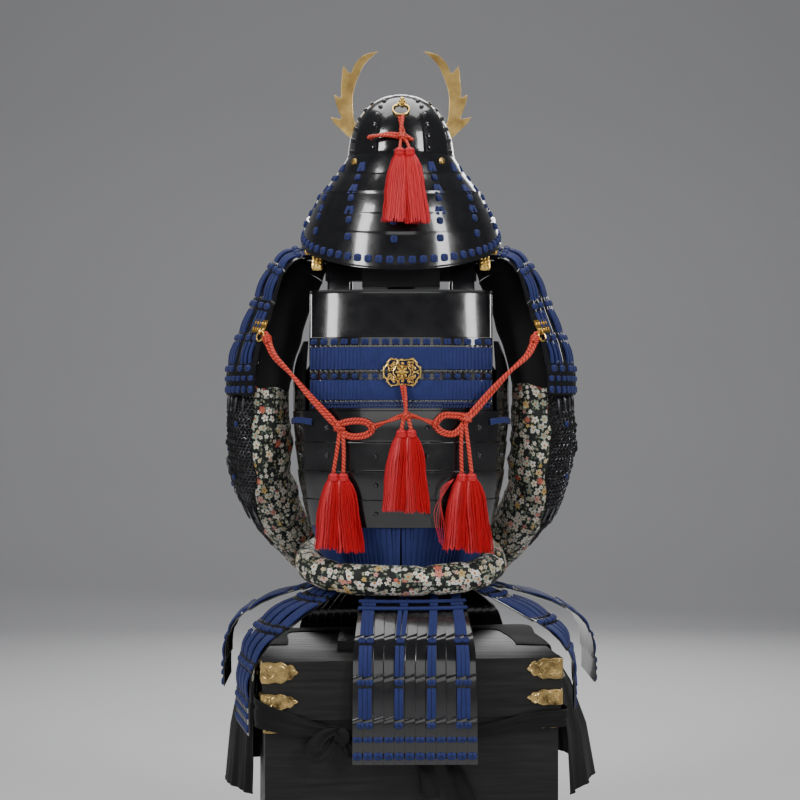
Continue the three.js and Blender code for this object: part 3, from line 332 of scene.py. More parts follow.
def cloth_finish():
    f = Finish("black_cloth", (0.008, 0.008, 0.009), 0.85, Sheen_Weight=0.08, Specular_IOR_Level=0.2)
    warp = f.node("ShaderNodeTexWave", Vector=f.uv(), Scale=320.0).outputs["Fac"]
    weft = f.node("ShaderNodeTexWave", {"bands_direction": "Y"}, Vector=f.uv(), Scale=320.0).outputs["Fac"]
    f.set(f.shader, "Base Color", f.ramp(f.noise(12), (0.3, grey(0.003)), (0.7, grey(0.009))))
    f.bump(f.math("MULTIPLY", warp, weft), 0.35, 0.0004)
    f.bump(f.noise(9, 3.0), 0.3, 0.006)
    return f.material


def wood_finish():
    """Black stained wood: long grain along X, a satin finish."""
    f = Finish("black_wood", (0.01, 0.009, 0.009), 0.45, Specular_IOR_Level=0.3)
    stretch = f.node("ShaderNodeVectorMath", {"operation": "MULTIPLY"})
    f.set(stretch, 0, f.place())
    stretch.inputs[1].default_value = (3, 40, 90)
    grain = f.noise(1.6, 6.0, stretch.outputs[0])
    f.set(f.shader, "Base Color", f.ramp(grain, (0.3, (0.003, 0.0027, 0.0027)), (0.7, (0.013, 0.012, 0.011))))
    f.set(f.shader, "Roughness", f.ramp(grain, (0.3, grey(0.38)), (0.7, grey(0.56))))
    f.bump(grain, 0.2, 0.0012)
    return f.material


FINISH = {
    "lacquer": lacquer_finish(),
    "lacing": braid_finish(),
    "brass": metal_finish("antique_brass", (0.72, 0.52, 0.22), (0.12, 0.08, 0.03), 0.28, 35.0),
    "gilt": metal_finish("gilt", (0.95, 0.66, 0.2), (0.6, 0.36, 0.08), 0.2, 60.0),
    # The cord's second, dark colour is the painted shade between its strands
    "cord": twisted_finish("orange_red_cord", (0.8, 0.06, 0.022), (0.16, 0.004, 0.003), 1.05),
    "tassel": thread_finish(),
    "brocade": brocade_finish(),
    "cloth": cloth_finish(),
    "wood": wood_finish(),
}
HORN_GILT = metal_finish("worn_gilt", (0.85, 0.58, 0.2), (0.3, 0.18, 0.06), 0.24, 24.0)
MAIL = metal_finish("blackened_mail", (0.13, 0.13, 0.14), (0.03, 0.03, 0.033), 0.3, 80.0)


# Meshes


class Piece:
    """Gathers faces, in millimetres, for one named object."""

    def __init__(self, name, slot, material=None):
        self.name, self.slot = name, slot
        self.material = material or FINISH[slot]
        self.points, self.faces, self.uvs = [], [], []

    def face(self, corners, uvs):
        self.faces.append(corners)
        self.uvs.extend(uvs)

    def grid(self, rows, uv=None, wrap=False, flip=False):
        """Quads over rows of points; wrap joins the last column to the first, uv(i, j) gives a corner's UV."""
        first = len(self.points)
        width = len(rows[0])
        for row in rows:
            self.points.extend(row)
        uv = uv or (lambda i, j: (j / max(1, width - 1), i / max(1, len(rows) - 1)))
        for i in range(len(rows) - 1):
            for j in range(width if wrap else width - 1):
                k = (j + 1) % width
                corners = [first + i * width + j, first + i * width + k]
                corners += [first + (i + 1) * width + k, first + (i + 1) * width + j]
                places = [uv(i, j), uv(i, j + 1), uv(i + 1, j + 1), uv(i + 1, j)]
                if flip:
                    corners.reverse()
                    places.reverse()
                self.face(corners, places)

    def cap(self, ring, flip=False):
        first = len(self.points)
        self.points.extend(ring)
        corners = list(range(first, first + len(ring)))
        if flip:
            corners.reverse()
        self.face(corners, [(0.5, 0.5)] * len(ring))

    def tube(self, route, radius, sides=8, ends=True):
        """A round cord along a route; radius may be a function of 0 to 1."""
        size = radius if callable(radius) else (lambda t: radius)
        rings, normal = [], Vector((0.31, 0.52, 0.79))
        for i, p in enumerate(route):
            way = heading(route, i)
            normal = (normal - way * normal.dot(way)).normalized()
            r = size(i / (len(route) - 1))
            rings.append([p + swing(normal, way.cross(normal), r, TAU * k / sides) for k in range(sides)])
        run, widest = distances(route), 2 * size(0.5)
        self.grid(rings, lambda i, j: (j / sides, run[i] / widest), wrap=True)
        if ends:
            self.cap(rings[0], flip=True)
            self.cap(rings[-1])

    def strip(self, route, normals, width, height):
        """A flat braid along a route: a low arch across, UV across 0 to 1 and along in widths."""
        section = ((-0.5, -0.3), (-0.42, 0.75), (0, 1), (0.42, 0.75), (0.5, -0.3))
        rings = []
        for i, (p, out) in enumerate(zip(route, normals)):
            way = heading(route, i)
            across = way.cross(out).normalized()
            up = across.cross(way)
            rings.append([p + across * (width * x) + up * (height * y) for x, y in section])
        run, last = distances(route), len(section) - 1
        self.grid(rings, lambda i, j: (section[min(j, last)][0] + 0.5, run[i] / width), wrap=True, flip=True)
        self.cap(rings[0])
        self.cap(rings[-1], flip=True)

    def pad(self, centre, out, up, width, height, thick, squareness=3.2, sides=12):
        """A domed pad with rounded corners, such as a knot; a squareness of 2 makes it round or oval."""
        out = out.normalized()
        across = up.cross(out).normalized()
        up = out.cross(across)
        turns = [TAU * k / sides for k in range(sides + 1)]
        rings = []
        for reach, rise in ((1.0, -0.35), (0.98, 0.35), (0.8, 0.8), (0.42, 1.0)):
            ring = []
            for a in turns[:-1]:
                x = 0.5 * width * reach * power(math.cos(a), 2 / squareness)
                y = 0.5 * height * reach * power(math.sin(a), 2 / squareness)
                ring.append(centre + across * x + up * y + out * (thick * rise))
            rings.append(ring)
        round_uv = lambda i, j: (0.5 + 0.5 * math.cos(turns[j]), 0.5 + 0.5 * math.sin(turns[j]))
        self.grid(rings, round_uv, wrap=True)
        self.cap(rings[-1])
        self.cap(rings[0], flip=True)

    def stud(self, centre, out, radius, rise=0.7):
        """A round stud; rise is its height as a share of its radius."""
        up = UP if abs(out.normalized().z) < 0.9 else -REAR
        self.pad(centre, out, up, 2 * radius, 2 * radius, rise * radius, 2, 10)

    def wall(self, surface, us, vs, thickness, wrap=False, size=None):
        """A thin wall from surface(u, v, offset), both faces and its rims; size gives UV in metres."""
        width, height = size or (1, 1)
        uv = lambda i, j: (us[j % len(us)] * width if j < len(us) else width, vs[i] * height)
        outer = [[surface(u, v, thickness) for u in us] for v in vs]
        inner = [[surface(u, v, 0) for u in us] for v in vs]
        self.grid(outer, uv, wrap)
        self.grid(inner, uv, wrap, flip=True)
        rim = lambda i, j: (0, 0)
        self.grid([inner[0], outer[0]], rim, wrap)
        self.grid([outer[-1], inner[-1]], rim, wrap)
        if not wrap:
            self.grid([[row[0] for row in outer], [row[0] for row in inner]], rim)
            self.grid([[row[-1] for row in inner], [row[-1] for row in outer]], rim)

    def build(self, *replaced, smooth=40):
        """Makes the object: it rides on the root body and stands for the nodes that it replaces."""
        mesh = bpy.data.meshes.new(self.name)
        mesh.from_pydata([p * MM for p in self.points], [], self.faces)
        layer = mesh.uv_layers.new(name="UVMap")
        layer.data.foreach_set("uv", [value for place in self.uvs for value in place])
        obj = bpy.data.objects.new(self.name, mesh)
        bpy.context.scene.collection.objects.link(obj)
        mesh.materials.append(self.material)
        form = bmesh.new()
        form.from_mesh(mesh)
        bmesh.ops.remove_doubles(form, verts=form.verts, dist=0.00001)
        bmesh.ops.recalc_face_normals(form, faces=form.faces)
        form.to_mesh(mesh)
        form.free()
        mesh.shade_smooth()
        mesh.set_sharp_from_angle(angle=math.radians(smooth))
        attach(obj, "root")
        if replaced:
            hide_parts(*replaced)
        return obj


def round_edges(obj, width, least_angle):
    """Small rounded edges where faces meet at more than an angle in degrees."""
    edge = obj.modifiers.new("edge", "BEVEL")
    edge.width = width * MM
    edge.segments = 2
    edge.limit_method = "ANGLE"
    edge.angle_limit = math.radians(least_angle)


def keep(name, material, bevel):
    """A CAD node that is shown as it is, with its finish and small rounded edges."""
    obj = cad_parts[name]
    obj.data.materials.clear()
    obj.data.materials.append(material)
    round_edges(obj, bevel, 35)


def outward(surface, u, v):
    """The outward direction of surface(u, v, offset)."""
    return (surface(u, v, 4) - surface(u, v, 0)).normalized()


def upward(surface, u, v, step=0.01, offset=3):
    """Towards smaller v on surface(u, v, offset)."""
    return (surface(u, v - step, offset) - surface(u, v + step, offset)).normalized()


# STAGE, in metres

# Half its width, its near edge, and the wall that it curves up to: distance, height and radius of the curve
FLOOR = {"reach": 14, "near": -16, "back": 6, "rise": 9, "turn": 2}
# Lamps: place, size and power
LAMPS = (
    ("key_left", (-2.6, -2.4, 2.9), (0.9, 2.2), 115),
    ("key_right", (2.6, -2.2, 2.6), (0.9, 2.2), 100),
    ("front_fill", (0, -4.2, 1.4), (2.6, 1.8), 20),
    ("top", (0, 0.4, 3.6), (2.6, 2.2), 70),
    ("far_side", (0.4, 3.4, 2.4), (2.2, 2.0), 60),
)
AIM = Vector((0, 0, 1.0))
SKY = {"colour": (0.8, 0.82, 0.86, 1), "strength": 0.1}


def build_stage():
    floor = bpy.data.meshes.new("floor")
    reach, back, turn = FLOOR["reach"], FLOOR["back"], FLOOR["turn"]
    section = [(FLOOR["near"], 0), (back - turn, 0)]
    for a in (0.4, 0.8, 1.2, 1.5708):
        section.append((back - turn + turn * math.sin(a), turn - turn * math.cos(a)))
    section.append((back, FLOOR["rise"]))
    points = [(x, y, z) for y, z in section for x in (-reach, reach)]
    faces = [(2 * i, 2 * i + 1, 2 * i + 3, 2 * i + 2) for i in range(len(section) - 1)]
    floor.from_pydata(points, [], faces)
    for polygon in floor.polygons:
        polygon.use_smooth = True
    obj = bpy.data.objects.new("floor", floor)
    bpy.context.scene.collection.objects.link(obj)
    pale = Finish("pale_floor", (0.55, 0.55, 0.56), 0.9)
    floor.materials.append(pale.material)
    for name, place, size, energy in LAMPS:
        lamp = bpy.data.lights.new(name, "AREA")
        lamp.shape = "RECTANGLE"
        lamp.size, lamp.size_y = size
        lamp.energy = energy
        light = bpy.data.objects.new(name, lamp)
        light.location = place
        light.rotation_euler = (AIM - Vector(place)).to_track_quat("-Z", "Y").to_euler()
        bpy.context.scene.collection.objects.link(light)
    world = bpy.data.worlds.new("studio")
    bpy.context.scene.world = world
    world.use_nodes = True
    sky = world.node_tree.nodes["Background"].inputs
    sky["Color"].default_value = SKY["colour"]
    sky["Strength"].default_value = SKY["strength"]


build_stage()


# HELMET

# Thickness of the lacquered plates
PLATE = 2.2
BOWL = {"width": 110, "depth": 124, "rim": 1530, "height": 138, "square": 2.15, "plate": 2.6}
# Rim of the bowl, then foot of each neck guard lame:
# half width, half depth, height at the back and at the sides
NECK_GUARD = (
    (108.2, 122.2, 1534, 1534),
    (126, 142, 1490, 1507),
    (163, 170, 1441, 1460),
    (180, 188, 1396, 1429),
    (193, 200, 1356, 1404),
    (205, 212, 1287, 1363),
)
# How far each lame goes up under the one above it, and how far round they all go, in degrees
NECK_LAPS = (0, 0, 0.8, 7, 7, 7)
NECK_REACH = 118
NECK_CLEARANCE = 2.7
# Plate seams and rivets of the bowl, in degrees from the middle of the back, and rivet heights over the rim
SEAMS = (24.5, 62, 100, 139)
SEAM_HALF = 0.35
PLATE_LAP = 1.1
RIVETS = {"beside": 6, "heights": (14, 38, 62, 84, 103, 117), "radius": 3.6}


def bowl_point(turn, climb, offset):
    """A point of the bowl: turn goes round from the middle of the back, climb goes up from the rim."""
    level, rise = (power(share, 2 / BOWL["square"]) for share in (math.cos(climb), math.sin(climb)))
    x = (BOWL["width"] + offset) * math.sin(turn) * level
    y = (BOWL["depth"] + offset) * math.cos(turn) * level
    return Vector((x, -y, BOWL["rim"] + (BOWL["height"] + offset) * rise))


def plate_lap(angle):
    """Height of the bowl's plates: each laps over the edge of the next one round."""
    edges = (0,) + SEAMS + (180,)
    for low, high in zip(edges, edges[1:]):
        if angle <= high:
            return PLATE_LAP * (1 if low == 0 else smooth_step(low + 3, high, angle))
    return PLATE_LAP


def bowl_climb(height):
    """The climb at which the bowl is that far over its rim."""
    return math.asin((height / BOWL["height"]) ** (BOWL["square"] / 2))


def build_bowl():
    edges = {side * seam + step * SEAM_HALF for seam in SEAMS for side in (-1, 1) for step in (-1, 1)}
    angles = sorted(edges | set(range(-180, 180, 4)))
    us = [a / 360 for a in angles]
    shell = Piece("helmet_bowl_shell", "lacquer")

    def surface(u, v, offset):
        rim = 1.6 * bell(v - 0.03, 0.018)
        fade = 1 - smooth_step(0.8, 0.97, v)
        lap = plate_lap(abs(360 * u)) * fade + rim if offset else 0
        return bowl_point(TAU * u, v * TAU / 4, offset - BOWL["plate"] + lap)

    vs = [0, 0.012, 0.03, 0.05, 0.07] + [0.07 + 0.93 * t for t in steps(22)][1:-1] + [0.995]
    shell.wall(surface, us, vs, BOWL["plate"], wrap=True)
    shell.stud(UP * (BOWL["rim"] + BOWL["height"]), UP, 9, 0.25)
    shell.build("helmet_bowl")
    rivets = Piece("helmet_rivets", "lacquer")
    for seam in SEAMS:
        for side in (-1, 1):
            for height in RIVETS["heights"]:
                turn = math.radians(side * (seam + RIVETS["beside"] * (1 + 0.004 * height)))
                climb = bowl_climb(height)
                place = bowl_point(turn, climb, 0.6)
                rivets.stud(place, bowl_point(turn, climb, 10) - place, 1.35 * RIVETS["radius"], 0.85)
    rivets.build()


def neck_point(number, turn, v, offset):
    """A lame of the neck guard: it lies outside the foot of the lame above it."""
    above, below = NECK_GUARD[number - 1], NECK_GUARD[number]
    height = lambda row: mix(row[2], row[3], 1 - math.cos(turn))
    head, foot = height(above), height(below)
    z = mix(head + NECK_LAPS[number], foot, v)
    share = (head - z) / (head - foot)
    half_width, half_depth = (mix(above[k] + NECK_CLEARANCE, below[k], share) + offset for k in (0, 1))
    return Vector((half_width * math.sin(turn), -half_depth * math.cos(turn), z))


def neck_out(number, turn, v):
    """Outward at a place on a lame."""
    across = neck_point(number, turn + 0.02, v, PLATE) - neck_point(number, turn - 0.02, v, PLATE)
    down = neck_point(number, turn, v - 0.02, PLATE) - neck_point(number, turn, v + 0.02, PLATE)
    return across.cross(down).normalized()


def build_neck_guard():
    for number in range(1, len(NECK_GUARD)):
        last = number == len(NECK_GUARD) - 1
        shell = Piece(f"neck_guard_shell_{number}", "lacquer")

        def surface(u, v, offset):
            turn = math.radians(mix(-NECK_REACH, NECK_REACH, u))
            lip = 1.3 * bell(v, 0.05) if number > 1 else 0
            hem = 2.2 * smooth_step(0.93, 0.99, v) if last else 0
            belly = 1.2 * math.sin(math.pi * min(1, max(0, v)))
            return neck_point(number, turn, v, offset + ((lip + hem + belly) if offset else 0))

        vs = [0, 0.02, 0.05, 0.09, 0.14, 0.3, 0.5, 0.7, 0.84, 0.92, 0.95, 0.98, 1]
        shell.wall(surface, steps(80), vs, PLATE)
        shell.build(f"neck_guard_lame_{number}")


# Lacing columns of the neck guard: degrees from the middle of the back, at the column's top and foot
NECK_COLUMNS = (
    (-7, -4),
    (-39.5, -32),
    (29.5, 23),
    (-74, -60),
    (60, 50),
    (-92, -86),
    (88, 78),
    (-110, -108),
    (108, 106),
)
# On each column: place from its top to its foot, lame, and where a pair of braids goes from and to on that lame
NECK_BRAIDS = ((0.02, 1, 0.52, 0.99), (0.3, 2, 0.6, 0.98), (0.62, 3, 0.66, 0.98))
# On each column: place, lame, where a knot lies on that lame, and its size
NECK_KNOTS = ((0.17, 2, 0.27, 12), (0.5, 3, 0.3, 12.5), (0.8, 4, 0.4, 12.5), (1, 5, 0.2, 13))
# The row of knots along the foot: how many to each side, degrees apart, place on the lame, size
NECK_HEM = {"each_side": 18, "apart": 6.2, "place": 0.74, "size": 13.6}


def build_neck_lacing():
    lacing = Piece("neck_guard_lacing", "lacing")

    def knot(number, turn, v, size):
        place = neck_point(number, turn, v, PLATE + 1.6)
        lacing.pad(place, neck_out(number, turn, v), UP, 1.12 * size, size * 1.16, 4)

    def lean(number, turn, low, high):
        for side in (-1, 1):
            turns = [turn + side * math.radians(spread) for spread in between(1.0, 2.4, 3)]
            places = list(zip(turns, between(low, high, 3)))
            route = [neck_point(number, a, v, PLATE + 1.6) for a, v in places]
            lacing.strip(route, [neck_out(number, a, v) for a, v in places], 9.8, 3)

    for top, foot in NECK_COLUMNS:
        for share, number, low, high in NECK_BRAIDS:
            lean(number, math.radians(mix(top, foot, share)), low, high)
        for share, number, v, size in NECK_KNOTS:
            knot(number, math.radians(mix(top, foot, share)), v, size)
    for i in range(-NECK_HEM["each_side"], NECK_HEM["each_side"] + 1):
        knot(5, math.radians(NECK_HEM["apart"] * i), NECK_HEM["place"], NECK_HEM["size"])
    lacing.build()
    gilt = Piece("neck_guard_studs", "gilt")
    for angle in (-53, 44, -104, 100):
        turn = math.radians(angle)
        gilt.pad(neck_point(1, turn, 0.42, PLATE), neck_out(1, turn, 0.4), UP, 15, 15, 5.4, 2, 16)
    gilt.build()


def build_visor():
    visor = Piece("helmet_visor_shell", "lacquer")

    def surface(u, v, offset):
        turn = math.radians(mix(122, 238, u))
        swell = math.sin(math.pi * u) ** 0.7 if 0 < u < 1 else 0
        p = bowl_point(turn, 0, 0.4 + 52 * v * swell)
        p.z = BOWL["rim"] + 4 - 26 * v * swell + offset + 2.4 * v * v * (1 if offset else 0)
        return p

    visor.wall(surface, steps(48), steps(8), PLATE)
    visor.build("helmet_visor")


# One horn's outline, as x and z; its points stay sharp
HORN = (
    ((48, 1789), (70, 1785), (86, 1777), (101, 1760), (110, 1741), (125, 1757)),
    ((125, 1757), (128, 1743), (129, 1727), (131, 1705), (131, 1688), (145, 1695)),
    ((145, 1695), (142, 1679), (136, 1660), (130, 1642), (153, 1646)),
    ((153, 1646), (146, 1633), (137, 1625), (110, 1600), (72, 1576), (30, 1566)),
    ((30, 1566), (30, 1586)),
    (
        (30, 1586),
        (62, 1597),
        (90, 1617),
        (102, 1640),
        (105, 1689),
        (97, 1723),
        (82, 1757),
        (62, 1779),
        (48, 1789),
    ),
)


def build_horns():
    for side, name in SIDES:
        horn = Piece(f"horn_plate_{name}", "brass", HORN_GILT)
        outline = []
        for run in HORN:
            points = [Vector((side * x, 0, z)) for x, z in run]
            if len(run) > 2:
                points = curve_through(points, 3 * len(run))
            outline += points[:-1]
        faces = [[p - REAR * y for p in outline] for y in (129, 132)]
        horn.grid(faces, wrap=True)
        horn.cap(faces[0])
        horn.cap(faces[1], flip=True)
        round_edges(horn.build(f"horn_{name}", smooth=30), 0.7, 30)


def build_knob_ring():
    piece = Piece("helmet_knob_and_ring", "gilt")
    seat = bowl_point(0, math.radians(40), 3.3)
    out = (seat - bowl_point(0, math.radians(40), 0)).normalized()
    across = Vector((1, 0, 0))
    piece.tube(ring_route(seat, across, out.cross(across), 17), 2, 10, ends=False)
    turn, climb = math.radians(2), math.radians(50)
    foot = bowl_point(turn, climb, 1.4)
    out = (bowl_point(turn, climb, 20) - foot).normalized()
    for lift, size, thick, sides in ((0, 19, 3.4, 20), (4, 14, 5, 16), (8.5, 9.5, 5, 16)):
        piece.pad(foot + out * lift, out, UP, size, size, thick, 2, sides)
    piece.build("helmet_knob_ring")


build_bowl()
build_neck_guard()
build_neck_lacing()
build_visor()
build_horns()
build_knob_ring()


# CORDS, KNOTS AND TASSELS


# How close the two strands of a cord lie, as a share of its radius
STRAND_GAP = 0.94


def doubled(piece, route, radius, turns=0.0):
    """Two twisted strands side by side along a route, turning about each other as they go."""
    line = curve_through(route, 10 * len(route))
    for side in (0, math.pi):
        path, normal = [], REAR
        for i, p in enumerate(line):
            way = heading(line, i)
            normal = (normal - way * normal.dot(way)).normalized()
            a = side + math.pi / 2 + TAU * turns * i / (len(line) - 1)
            path.append(p + swing(normal, way.cross(normal), radius * STRAND_GAP / 2, a))
        piece.tube(path, radius / 2, 8)
    return line


def wrap(piece, centre, way, radius, strand):
    """A turn of cord wound round a knot."""
    first = way.cross(Vector((0.1, 1, 0.2))).normalized()
    piece.tube(ring_route(centre, first, way.cross(first).normalized(), radius, 20), strand, 7, ends=False)


# Each side's knot: its middle, how far in its loop ends, and the loop's top and foot
KNOTS = {
    "left": {"x": -126, "y": -143.6, "z": 976, "end": -58, "top": 986, "foot": 958},
    "right": {"x": 132, "y": -143.6, "z": 992, "end": 70, "top": 998, "foot": 964},
}
# Each side's cord, from the ring of the shoulder guard to the knot
ROUTES = {
    "left": (
        (-273.2, -124, 1159.2),
        (-256, -142, 1120),
        (-222, -146, 1083),
        (-182, -148, 1036),
        (-138, -149, 988),
    ),
    "right": (
        (273.2, -124, 1159.2),
        (256, -142, 1122),
        (220, -146, 1088),
        (184, -148, 1050),
        (144, -149, 1004),
    ),
}
CORD = {"radius": 8.2, "strand": 4}


def wound(piece, centre, turns, strand):
    """A knot of turns of cord, each given by the x and z of its axis and by its radius."""
    for x, z, radius in turns:
        wrap(piece, centre, Vector((x, 0, z)).normalized(), radius, strand)


def side_cord(name):
    cord = Piece(f"agemaki_cord_{name}", "cord")
    line = doubled(cord, ROUTES[name], CORD["radius"], 0.5)
    obj = cord.build(f"cord_{name}")
    distances(line)[-1] * MM
    return line


def side_bow(name, knot):
    """The knot of a side cord, its loop, and the two strands down to its tassels."""
    bow = Piece(f"agemaki_knot_{name}", "cord")
    inward = math.copysign(1, knot["end"] - knot["x"])
    centre = Vector((knot["x"], knot["y"] - 5.5, knot["z"]))
    near, far = knot["x"] + 2 * inward, knot["end"]
    # Each point of the loop: x, how far behind the knot's middle, z
    loop = (
        (near, 1, knot["z"] + 5),
        (near + 22 * inward, 3, knot["top"] + 1),
        (far - 14 * inward, 3, knot["top"]),
        (far, 1, mix(knot["top"], knot["foot"], 0.5)),
        (far - 14 * inward, 3, knot["foot"] + 1),
        (near + 22 * inward, 3, knot["foot"] - 1),
        (near, 1, knot["z"] - 7),
    )
    doubled(bow, [(x, centre.y - behind, z) for x, behind, z in loop], 7)
    tail = Vector(ROUTES[name][-1])
    doubled(bow, (tail, tail.lerp(centre, 0.5) + REAR * 2, centre), 7.6, 0.1)
    for tilt, size in ((-0.5, 8.5), (0.0, 9.5), (0.55, 8.5)):
        wound(bow, centre + Vector((5 * tilt, 0, -3 * tilt)), ((inward, tilt, size),), 3.4)
    wound(bow, centre + Vector((2 * inward, 0, -2)), ((0.2, 1, 10),), 3.2)
    for way in (-1, 1):
        drop = (
            (knot["x"] + 6 * inward + 3 * way, centre.y - 2, knot["z"] - 6),
            (knot["x"] + 4 * inward + 7 * way, centre.y - 3, knot["z"] - 50),
            (knot["x"] + 10 * way, centre.y - 2, 884),
        )
        bow.tube(curve_through(drop, 20), CORD["strand"], 8)
    bow.build(f"knot_{name}")


def side_hitch(name, start, away):
    """The hitch that ties a side cord to its ring."""
    hitch = Piece(f"agemaki_hitch_{name}", "cord")
    for k in range(3):
        wrap(hitch, start + away * (4 + 5 * k), away, 7.6 - 0.7 * k, 3)
    for way in (-1, 1):
        beside = start + REAR.cross(away).normalized() * (4 * way)
        loop = (beside + away * 6, beside - away * 5 + REAR * 4, start - away * 9 + REAR)
        hitch.tube(curve_through(loop, 12), 3, 8)
    hitch.build()


def build_side_cords():
    for name, knot in KNOTS.items():
        line = side_cord(name)
        side_bow(name, knot)
        side_hitch(name, line[0], (line[6] - line[0]).normalized())


def short_cords(piece, rows):
    """Doubled cords, each given by its route, its radius and its turns."""
    for route, radius, turns in rows:
        doubled(piece, route, radius, turns)


CENTRE_CORDS = (
    (((4, -160, 1060), (8, -160, 1030), (10, -160, 1002)), 6.4, 0.3),
    (((6, -158.5, 1000), (-22, -159, 989), (-46, -157, 980), (-57, -153, 974)), 5.6, 0.6),
    (((14, -158.5, 1000), (36, -159, 994), (58, -157, 986), (69, -152, 982)), 5.6, 0.6),
)
HELMET_CORDS = (
    (((0, -115.5, 1607), (1, -120, 1595), (2, -126, 1580), (3, -129, 1566)), 7.2, 0.5),
    (((0, -129, 1564), (-30, -129, 1567), (-58, -121, 1564), (-64, -118, 1561)), 6.8, 0.4),
    (((5, -130, 1564), (14, -131, 1560), (24, -131, 1556)), 6.8, 0.3),
)


def build_centre_cord():
    piece = Piece("agemaki_cord_centre", "cord")
    short_cords(piece, CENTRE_CORDS)
    slant = Vector((0.3, 0, 1)).normalized()
    for x, z in ((-56, 974), (68, 982)):
        piece.tube(ring_route(Vector((x, -153, z)), -REAR, slant, 7.2, 18), 3.2, 7, ends=False)
    wound(piece, Vector((10, -159, 999)), ((1, 0.25, 8), (1, -0.3, 8.2), (0.1, 1, 9)), 3.2)
    for x, tip in ((6, 0.5), (14, 20.5)):
        drop = ((x, -161, 996), (mix(x, tip, 0.5), -163, 984), (tip, -164, 968))
        piece.tube(curve_through(drop, 12), CORD["strand"], 8)
    piece.build("cord_centre")


def build_helmet_cord():
    piece = Piece("helmet_knot_cord", "cord")
    short_cords(piece, HELMET_CORDS)
    wound(piece, Vector((3, -131, 1562)), ((0.2, 1, 9), (1, 0.5, 8.6), (1, -0.5, 8.6)), 2.8)
    for x, tip in ((0, -2.5), (7, 17.5)):
        drop = ((x, -133, 1558), (mix(x, tip, 0.5), -143, 1549), (tip, -153, 1535))
        piece.tube(curve_through(drop, 10), 3, 8)
    piece.build("helmet_cord")


# Threads of one tassel, and stations along a thread
THREADS = 170
THREAD_STEPS = 10


def tassel_pair(name, node, heads, feet, spread, seed):
    """Two bells of fine threads that hang side by side from small wound heads."""
    random_ = random.Random(seed)
    piece = Piece(name, "tassel")
    neck = Piece(f"{name}_heads", "tassel")
    flare = lambda t: 1 - 0.62 * math.exp(-t / 0.16) if t > 0 else 0.38
    for head, foot in zip(heads, feet):
        head, foot = Vector(head), Vector(foot)
        drop = foot - head

        def place(a, reach, t, lean=0.0):
            out = flare(t) * reach
            sway = 1.0 + 0.05 * math.sin(9 * t + a)
            x = spread[0] * out * math.cos(a) * sway + lean * t * t
            return head + drop * t + Vector((x, spread[1] * out * math.sin(a) * sway, 0))

        core = [[place(TAU * k / 14, 0.82, t) for k in range(14)] for t in (0, 0.08, 0.2, 0.45, 0.75, 0.95)]
        piece.grid(core, wrap=True, flip=True)
        piece.cap(core[0])
        piece.cap(core[-1], flip=True)
        for i in range(THREADS):
            a = TAU * i / THREADS * 5.0 + random_.uniform(-0.2, 0.2)
            reach = random_.choice((0.84, 0.92, 1.0)) * random_.uniform(0.96, 1.04)
            lean = random_.uniform(-3, 3)
            length = random_.uniform(0.97, 1.035)
            wave, beat = random_.uniform(0.2, 0.8), random_.uniform(14, 22)
            path = []
            for t in between(0, length, THREAD_STEPS):
                crimp = Vector((wave * math.sin(beat * t * 2 + i), wave * math.cos(beat * t * 2.3 + i), 0))
                path.append(place(a, reach, t, lean) + crimp * min(1, 3 * t))
            piece.tube(path, random_.uniform(0.75, 1.1), 3)
        neck.pad(head + UP * 6, UP, -REAR, 19, 17, 5, 2, 14)
        for k in range(4):
            wrap(neck, head + UP * (5.5 - 3 * k), UP, 8.6 - 0.3 * (k % 2), 1.7)
        for k in range(12):
            x, y = math.cos(TAU * k / 12), math.sin(TAU * k / 12)
            tuft = [head + Vector(((7.5 + 3 * s) * x, (6.5 + 2.6 * s) * y, 8 - 10 * s)) for s in steps(3)]
            neck.tube(tuft, 1.2, 4)
    piece.build(node)
    neck.build()


# The middle tassels and the helmet's: heads, feet, half width and half depth, seed of their threads
TASSELS = (
    ("centre", ((0.5, -165, 960), (20.5, -165, 960)), ((-12, -168, 811), (32, -168, 808)), (25, 13.5), 11),
    ("helmet", ((-2.5, -153, 1526), (17.5, -153, 1526)), ((-14, -224, 1384), (32, -224, 1381)), (23, 10), 17),
)


def build_tassels():
    for seed, (name, knot) in enumerate(KNOTS.items(), 3):
        x, y = knot["x"], knot["y"] - 9.6
        heads = ((x - 9.8, y, 872), (x + 9.8, y, 872))
        feet = ((x - 20, y - 2, 734), (x + 24, y - 2, 727))
        tassel_pair(f"tassel_threads_{name}", f"tassels_{name}", heads, feet, (26, 15.5), seed)
    for name, heads, feet, spread, seed in TASSELS:
        tassel_pair(f"tassel_threads_{name}", f"tassels_{name}", heads, feet, spread, seed)
    stray = Piece("tassel_stray_threads", "tassel")
    for i in range(6):
        bow = (66 + 5 * i, -170 + i, 806 - 9 * i)
        route = ((106, -163, 872), (88 - 2 * i, -168, 846), bow, (78 + 3 * i, -167, 744 - 4 * i))
        stray.tube(curve_through(route, 16), 0.55, 4)
    stray.build()


build_side_cords()
build_centre_cord()
build_helmet_cord()
build_tassels()


# CUIRASS

# Squareness of the torso's section
ROUND = 2.6
# Height, half width and half depth of the torso
TORSO = (
    (660, 150, 112),
    (771, 190, 130),
    (860, 210, 139),
    (985, 222, 143),
    (1100, 221, 141),
    (1160, 216, 138),
    (1254, 206, 122),
)
# The flat upper back: half its width, and its top plate's top and foot
BACK = {"half": 187, "top": 1254, "foot": 1157.4}
STRAP = {"inner": 104, "outer": 150, "arch": 102, "front": 1190, "plate": 4}
# Gap between neighbouring plates
SEAM = 0.4


def rounded(half_width, half_depth, angle, z):
    turn = math.radians(angle)
    x = half_width * power(math.sin(turn), 2 / ROUND)
    return Vector((x, -half_depth * power(math.cos(turn), 2 / ROUND), z))


